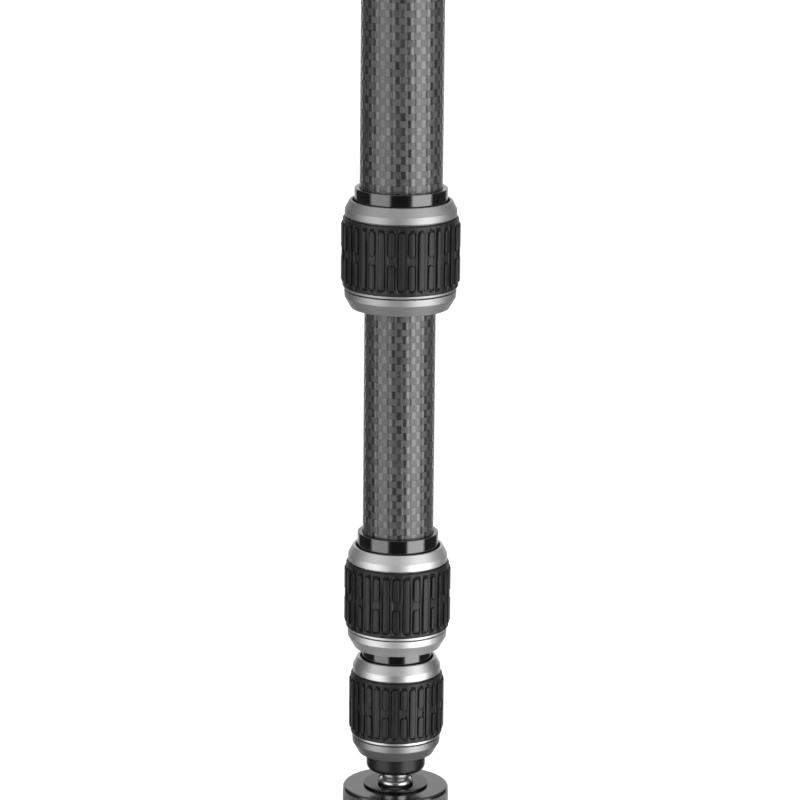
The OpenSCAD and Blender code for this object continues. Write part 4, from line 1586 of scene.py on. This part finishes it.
@dataclass(frozen=True)
class GripAndHead:
    """The foam grip, its trim ring and the head that carries the camera.

    Attributes:
        body: The body that they ride on.
        foam_edge: Radius of the foam's ends.
        foam_rings: Shallow rings near each end.
        ring_start: Distance of the first ring from the end.
        ring_step: Distance between two rings.
        ring_depth: Depth of a ring.
        head_spigot: Depth of the head's spigot in the tube.
        screw_flange: Radius of the camera screw's flange.
        flange_height: Height of the flange.
        screw_reach: Depth of the flange's seat under the platform.
        rim_height: Height of the platform's rim.
        platform_groove: Depth of the two rings on the platform.
        pad_seat: Radius of the pad's recess.
        pad_depth: Depth of the recess.
        pad_ridge: Depth of the pad's rings.
        set_screw_radius: Distance of a set screw from the pole axis.
        set_screw: Radius of a set screw.
        set_screw_length: Length of a set screw.
        lug_pin: Radius of the strap lug's pin.
        lug_turn: Turn of the lug round the pole axis.
        thread_crest: Radius of the camera screw's thread.
        thread_pitch: Pitch of the thread.
        thread_root: Radius under the thread.
        thread_turns: Turns of the thread.
    """

    body: str = "section_1"
    foam_edge: float = 3.2
    foam_rings: int = 3
    ring_start: float = 9.0
    ring_step: float = 5.0
    ring_depth: float = 0.8
    head_spigot: float = 15.0
    screw_flange: float = 7.0
    flange_height: float = 3.0
    screw_reach: float = 5.8
    rim_height: float = 6.0
    platform_groove: float = 0.35
    pad_seat: float = 15.0
    pad_depth: float = 0.8
    pad_ridge: float = 0.4
    set_screw_radius: float = 19.25
    set_screw: float = 1.5
    set_screw_length: float = 7.0
    lug_pin: float = 1.2
    lug_turn: float = 150.0
    thread_crest: float = 4.7625
    thread_pitch: float = 1.5875
    thread_root: float = 3.95
    thread_turns: int = 5

    @property
    def screw_hole(self) -> float:
        """Radius of the hole that the camera screw stands in."""
        return self.thread_crest + FIT

    def foam(self) -> None:
        """Turns the foam with crowned ends and three shallow rings near each end."""
        low, high = span("foam_grip")
        outer = reach("foam_grip")
        inner = reach("tube_1") + FIT
        edge = self.foam_edge
        profile = [(inner, low)] + arc((outer - edge, low + edge), edge, -90, 0, 10)
        upper_rings = high - self.ring_start - self.ring_step * self.foam_rings
        for start in (low + self.ring_start, upper_rings):
            for number in range(self.foam_rings):
                height = start + self.ring_step * number
                profile += [
                    (outer, height),
                    (outer - self.ring_depth * 0.7, height + 0.8),
                    (outer - self.ring_depth, height + 1.4),
                    (outer - self.ring_depth * 0.7, height + 2.0),
                    (outer, height + 2.8),
                ]
        profile += arc((outer - edge, high - edge), edge, 0, 90, 10) + [(inner, high)]
        piece = Bench.lathe("foam_sleeve", profile, bevel=0.3, steps=192)
        dress(piece, Finishes.FOAM, self.body, Slot.FOAM, "foam_grip")

    def trim(self) -> None:
        """Turns the silver ring under the foam, with two fine lines."""
        low, high = span("grip_trim_ring")
        outer = reach("grip_trim_ring")
        inner = reach("tube_1") + FIT
        profile = [(inner, low), (outer - 1.0, low), (outer, low + 1.0)]
        for line in (low + 2.0, low + 3.1):
            profile += side_groove(outer, line, 0.25, 0.2, 0.5)
        profile += [(outer, high - 0.5), (outer - 0.5, high), (inner, high)]
        piece = Bench.lathe("trim_ring", profile, bevel=0.1)
        dress(piece, Finishes.SILVER, self.body, Slot.SILVER, "grip_trim_ring")

    def head(self) -> None:
        """Turns the head with its flared neck and grooved platform, and drills the screw holes."""
        low, high = span("head_casting")
        tube_top = low + self.head_spigot
        platform = reach("head_casting")
        neck = reach("foam_grip")
        bore = reach("tube_1") - TUBE_WALL - FIT
        rim_low = high - self.rim_height
        pocket = self.screw_flange + 0.3
        pad_seat, pad_floor = self.pad_seat + FIT, high - self.pad_depth
        profile = [(pocket, low), (bore, low), (bore, tube_top), (neck, tube_top), (neck, tube_top + 3)]
        profile += [(neck - 0.5, tube_top + 3.5), (neck - 2, tube_top + 8), (neck - 2, tube_top + 9)]
        profile += [(platform - 1.2, rim_low - 0.3), (platform, rim_low + 0.5)]
        for line in (rim_low + 1.6, rim_low + 3.1):
            profile += side_groove(platform, line, 0.4, 0.3, 0.8)
        profile += [(platform, high - 0.8), (platform - 0.8, high)]
        for radius in (21.6, 16.9):
            profile += top_groove(radius, high, self.platform_groove, 0.2, 0.7)
        profile += [(pad_seat, high), (pad_seat, pad_floor), (self.screw_hole, pad_floor)]
        profile += [(self.screw_hole, high - self.screw_reach), (pocket, high - self.screw_reach)]
        piece = Bench.lathe("camera_head", profile, bevel=0.12, steps=192)
        centre = (self.set_screw_radius, 0, high - self.set_screw_length / 2 + 1)
        hole = Bench.drill(self.set_screw + LOOSE_FIT, self.set_screw_length + 2.6, centre, sides=32)
        Bench.cut_round(piece, LEG_TURNS.values(), hole)
        hole = Bench.drill(self.lug_pin + LOOSE_FIT, 5.2, (platform, 0, (rim_low + high) / 2), "X", 32)
        Bench.cut_round(piece, (self.lug_turn,), hole)
        Bench.smooth(piece)
        dress(piece, Finishes.CAST_BLACK, self.body, Slot.BLACK, "head_casting")

    def pad(self) -> None:
        """Turns the rubber pad with its concentric grip rings."""
        low, high = span("platform_pad")
        outer = reach("platform_pad")
        ridge = self.pad_ridge
        profile = [(self.screw_hole, low), (outer, low), (outer, high - ridge), (outer - ridge, high)]
        radius = outer - 1.4
        while radius > self.screw_hole + 2.0:
            profile += top_groove(radius, high, ridge, 0.3, 0.9)
            radius -= 1.9
        profile += [(self.screw_hole, high)]
        piece = Bench.lathe("camera_pad", profile, bevel=0.08)
        dress(piece, Finishes.PAD_RUBBER, self.body, Slot.RUBBER, "platform_pad")

    def screw(self) -> None:
        """Turns the camera screw's core and winds a real thread round it."""
        low, high = span("camera_screw")
        pad_top = span("platform_pad")[1]
        crest, root = self.thread_crest, self.thread_root
        flange_top = low + self.flange_height
        profile = [
            (0.0, low),
            (self.screw_flange, low),
            (self.screw_flange, flange_top),
            (crest - 0.5, flange_top),
            (crest - 0.5, pad_top + 0.4),
            (root, pad_top + 0.8),
            (root, high - 0.9),
            (root - 0.8, high),
            (0.0, high),
        ]
        piece = Bench.lathe("threaded_stud", profile, bevel=0.15)
        Bench.clear()
        bpy.ops.mesh.primitive_circle_add(vertices=4, radius=0.5 * MM, fill_type="NGON", location=(0, 0, 0))
        thread = bpy.context.object
        start = pad_top + 0.9
        half = self.thread_pitch * 0.44
        sunk = root - 0.3
        ridge = [(sunk, start - half), (crest, start - 0.1), (crest, start + 0.1), (sunk, start + half)]
        for vertex, (radius, height) in zip(thread.data.vertices, ridge):
            vertex.co = Vector((radius, 0, height)) * MM
        Bench.edit(thread)
        bpy.ops.mesh.select_all(action="SELECT")
        bpy.ops.mesh.delete(type="ONLY_FACE")
        bpy.ops.object.mode_set(mode="OBJECT")
        Bench.modify(
            thread,
            "SCREW",
            angle=math.tau,
            screw_offset=self.thread_pitch * MM,
            iterations=self.thread_turns,
            steps=48,
            render_steps=48,
            use_merge_vertices=False,
            use_smooth_shade=False,
        )
        Bench.edit(thread)
        bpy.ops.mesh.select_all(action="SELECT")
        bpy.ops.mesh.fill_holes(sides=0)
        Bench.close()
        Bench.combine(piece, thread, "UNION")
        Bench.smooth(piece)
        dress(piece, Finishes.BLACK_STEEL, self.body, Slot.BLACK_STEEL, "camera_screw")

    def build(self) -> None:
        """Makes the five pieces."""
        self.foam()
        self.trim()
        self.head()
        self.pad()
        self.screw()


class InnerParts:
    """Finishes for the nodes whose shape is already right."""

    SINGLE: dict[str, Finish] = {
        "socket_housing": Finishes.SATIN_BLACK,
        "lower_ball_seat": Finishes.NYLON,
        "upper_ball_seat": Finishes.NYLON,
        "seat_springs": Finishes.STEEL,
        "leg_pins": Finishes.STEEL,
        "leg_detents": Finishes.BRASS,
        "hub_screw": Finishes.BLACK_STEEL,
        "hub_bottom_pad": Finishes.PAD_RUBBER,
        "head_set_screws": Finishes.BLACK_STEEL,
        "strap_lug": Finishes.STEEL,
    }

    def build(self) -> None:
        """Assigns the finishes to the nodes' own material slots."""
        named = dict(self.SINGLE)
        for letter in LEG_TURNS:
            named[f"foot_screw_{letter}"] = Finishes.STEEL
        for number in (1, 2, 3):
            named[f"lock_{number}_collet"] = Finishes.NYLON
            named[f"lock_{number}_dust_seal"] = Finishes.PAD_RUBBER
            named[f"tube_{number + 1}_shims"] = Finishes.NYLON
        for node, finish in named.items():
            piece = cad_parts[node]
            if not piece.material_slots:
                piece.data.materials.append(finish.material())
            for slot in piece.material_slots:
                slot.material = finish.material()
            log.info("%s wears %s", node, finish.name)


@dataclass(frozen=True)
class Studio:
    """White ground, soft studio light and the photograph's camera.

    Attributes:
        lens: Focal length in millimetres on a 36 mm sensor.
        distance: Distance from the aimed point.
        pitch: Downward tilt in degrees.
        aim: Point that the camera looks at, in millimetres.
        roll: Lean of the frame in degrees.
        left_box: Radiance of the softbox left of the camera.
        right_box: Radiance of the softbox right of the camera.
        box_edges: Directions of a softbox's edges in degrees from the camera.
        box_low: Heights between which a softbox's lower edge fades, in degrees.
        box_high: Heights between which its upper edge fades.
        behind_edge: Directions between which the white backdrop begins.
        side_end: Direction at which the walls are as bright as at the side.
        ceiling_edge: Heights between which the ceiling begins.
        ground_edge: Heights between which the ground ends.
        front: Radiance of the wall behind the camera.
        side: Radiance of the walls at the sides.
        backdrop: Radiance of the backdrop.
        overhead: Radiance of the ceiling.
        underneath: Radiance of the ground.
        floor_radius: Radius of the floor in metres.
        floor_grey: Darkest and palest grey of the floor.
        floor_glow: Strength of the floor's own light.
    """

    lens: float = 171.0
    distance: float = 1200.66
    pitch: float = 13.5
    aim: tuple[float, float, float] = (0.25, 0.0, 185.7)
    roll: float = 0.56
    left_box: float = 1.9
    right_box: float = 3.3
    box_edges: Point = (27.0, 79.0)
    box_low: Point = (-52.0, -38.0)
    box_high: Point = (20.0, 34.0)
    behind_edge: Point = (138.0, 156.0)
    side_end: float = 110.0
    ceiling_edge: Point = (22.0, 48.0)
    ground_edge: Point = (-58.0, -42.0)
    front: float = 0.03
    side: float = 0.06
    backdrop: float = 0.5
    overhead: float = 0.7
    underneath: float = 0.2
    floor_radius: float = 6.0
    floor_grey: Point = (0.8, 0.84)
    floor_glow: float = 0.62

    def sky(self) -> None:
        """Paints the studio on the world: two tall softboxes, dark sides and a white backdrop.

        The camera and glass see plain white, and a mirror image of the backdrop is white too.
        """
        world = bpy.data.worlds.new("studio")
        bpy.context.scene.world = world
        world.use_nodes = True
        graph = Graph(world.node_tree)
        place = graph.add("ShaderNodeTexCoord", output="Generated")
        x, y, z = (graph.add("ShaderNodeSeparateXYZ", values={0: place}, output=i) for i in range(3))
        turn = x.apply("ARCTAN2", 0.0 - y) * (180 / math.pi)
        height = z.apply("ARCSINE") * (180 / math.pi)
        near, far = self.box_edges
        away = turn.apply("ABSOLUTE")
        box = away.ramp(near - 3, near + 4) * away.ramp(far - 4, far + 5, 1.0, 0.0)
        tall = height.ramp(*self.box_high, 1.0, 0.0) * height.ramp(*self.box_low)
        right = turn.apply("GREATER_THAN", 0.0)
        boxes = box * tall * (right * (self.right_box - self.left_box) + self.left_box)
        behind = away.ramp(*self.behind_edge)
        room = away.ramp(far, self.side_end, self.front, self.side)
        walls = room * (1.0 - behind) + behind * self.backdrop
        above = height.ramp(*self.ceiling_edge)
        below = height.ramp(*self.ground_edge, 1.0, 0.0)
        level = 1.0 - above - below
        light = boxes + walls * level + above * self.overhead + below * self.underneath
        kinds = ("Is Camera Ray", "Is Transmission Ray", "Is Glossy Ray")
        camera, passing, mirrored = (graph.add("ShaderNodeLightPath", output=kind) for kind in kinds)
        seen = camera.apply("MAXIMUM", passing).apply("MAXIMUM", mirrored * behind * level)
        strength = seen + (1.0 - seen) * light
        shader = graph.add("ShaderNodeBackground", values={"Color": grey(1.0), "Strength": strength})
        graph.add("ShaderNodeOutputWorld", values={"Surface": shader})

    def floor(self) -> None:
        """Lays a wide white floor that shows the object's shadow and nothing else."""
        Bench.clear()
        bpy.ops.mesh.primitive_circle_add(
            vertices=96, radius=self.floor_radius, fill_type="NGON", location=(0, 0, 0)
        )
        floor = bpy.context.object
        floor.name = "studio_floor"
        Bench.edit(floor)
        bpy.ops.mesh.select_all(action="SELECT")
        bpy.ops.mesh.inset(thickness=self.floor_radius / 3)
        Bench.close()
        material = bpy.data.materials.new("white_floor")
        material.use_nodes = True
        graph = Graph(material.node_tree)
        dark, pale = (grey(level) for level in self.floor_grey)
        colour = graph.mix(graph.noise(0.02, 2.0), dark, pale)
        matte = graph.add("ShaderNodeBsdfDiffuse", values={"Color": colour})
        glow = graph.add("ShaderNodeEmission", values={"Color": grey(1.0), "Strength": self.floor_glow})
        both = graph.add("ShaderNodeAddShader", values={0: matte, 1: glow})
        graph.add("ShaderNodeOutputMaterial", values={"Surface": both})
        floor.data.materials.append(material)
        floor.visible_glossy = False
        floor.visible_diffuse = False
        floor.visible_shadow = False

    def camera(self) -> None:
        """Places the photograph's camera."""
        data = bpy.data.cameras.new("photo_camera")
        data.lens = self.lens
        data.sensor_width = 36.0
        data.clip_start = 0.05
        camera = bpy.data.objects.new("photo_camera", data)
        bpy.context.collection.objects.link(camera)
        tilt = math.radians(self.pitch)
        aim = Vector(self.aim) * MM
        offset = Vector((0, -math.cos(tilt), math.sin(tilt))) * (self.distance * MM)
        look = (-offset).to_track_quat("-Z", "Y").to_matrix().to_4x4()
        lean = Matrix.Rotation(math.radians(self.roll), 4, "Z")
        camera.matrix_world = Matrix.Translation(aim + offset) @ look @ lean
        bpy.context.scene.camera = camera

    def build(self) -> None:
        """Sets the view, the light, the floor and the camera."""
        bpy.context.scene.view_settings.view_transform = "Standard"
        self.sky()
        self.floor()
        self.camera()


def corners(box: Iterable[Vector]) -> list[list[float]]:
    """Writes a box's two corners as plain numbers."""
    return [[float(value) for value in corner] for corner in box]


def main() -> None:
    """Builds and dresses the monopod."""
    logging.basicConfig(level=logging.INFO, format="%(name)s: %(message)s")
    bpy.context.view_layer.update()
    parts = (
        Studio(),
        Tube(1, "section_1", Finishes.WIDE_WEAVE),
        Tube(2, "section_2", Finishes.SECOND_WEAVE),
        Tube(3, "section_3", Finishes.THIRD_WEAVE),
        Tube(4, "section_4", Finishes.FOURTH_WEAVE),
        TwistLock(1, "section_1", 18, 1.0, Finishes.SILVER, Finishes.SILVER),
        TwistLock(2, "section_2", 16, 10.2, Finishes.BRIGHT_SILVER, Finishes.BRIGHT_SILVER),
        TwistLock(3, "section_3", 16, 20.6, Finishes.SOFT_SILVER, Finishes.DARK_SILVER),
        BallJoint(),
        FoldingBase(),
        GripAndHead(),
        InnerParts(),
    )
    for part in parts:
        log.info("building %s", type(part).__name__)
        part.build()


if __name__ == "__main__":
    main()
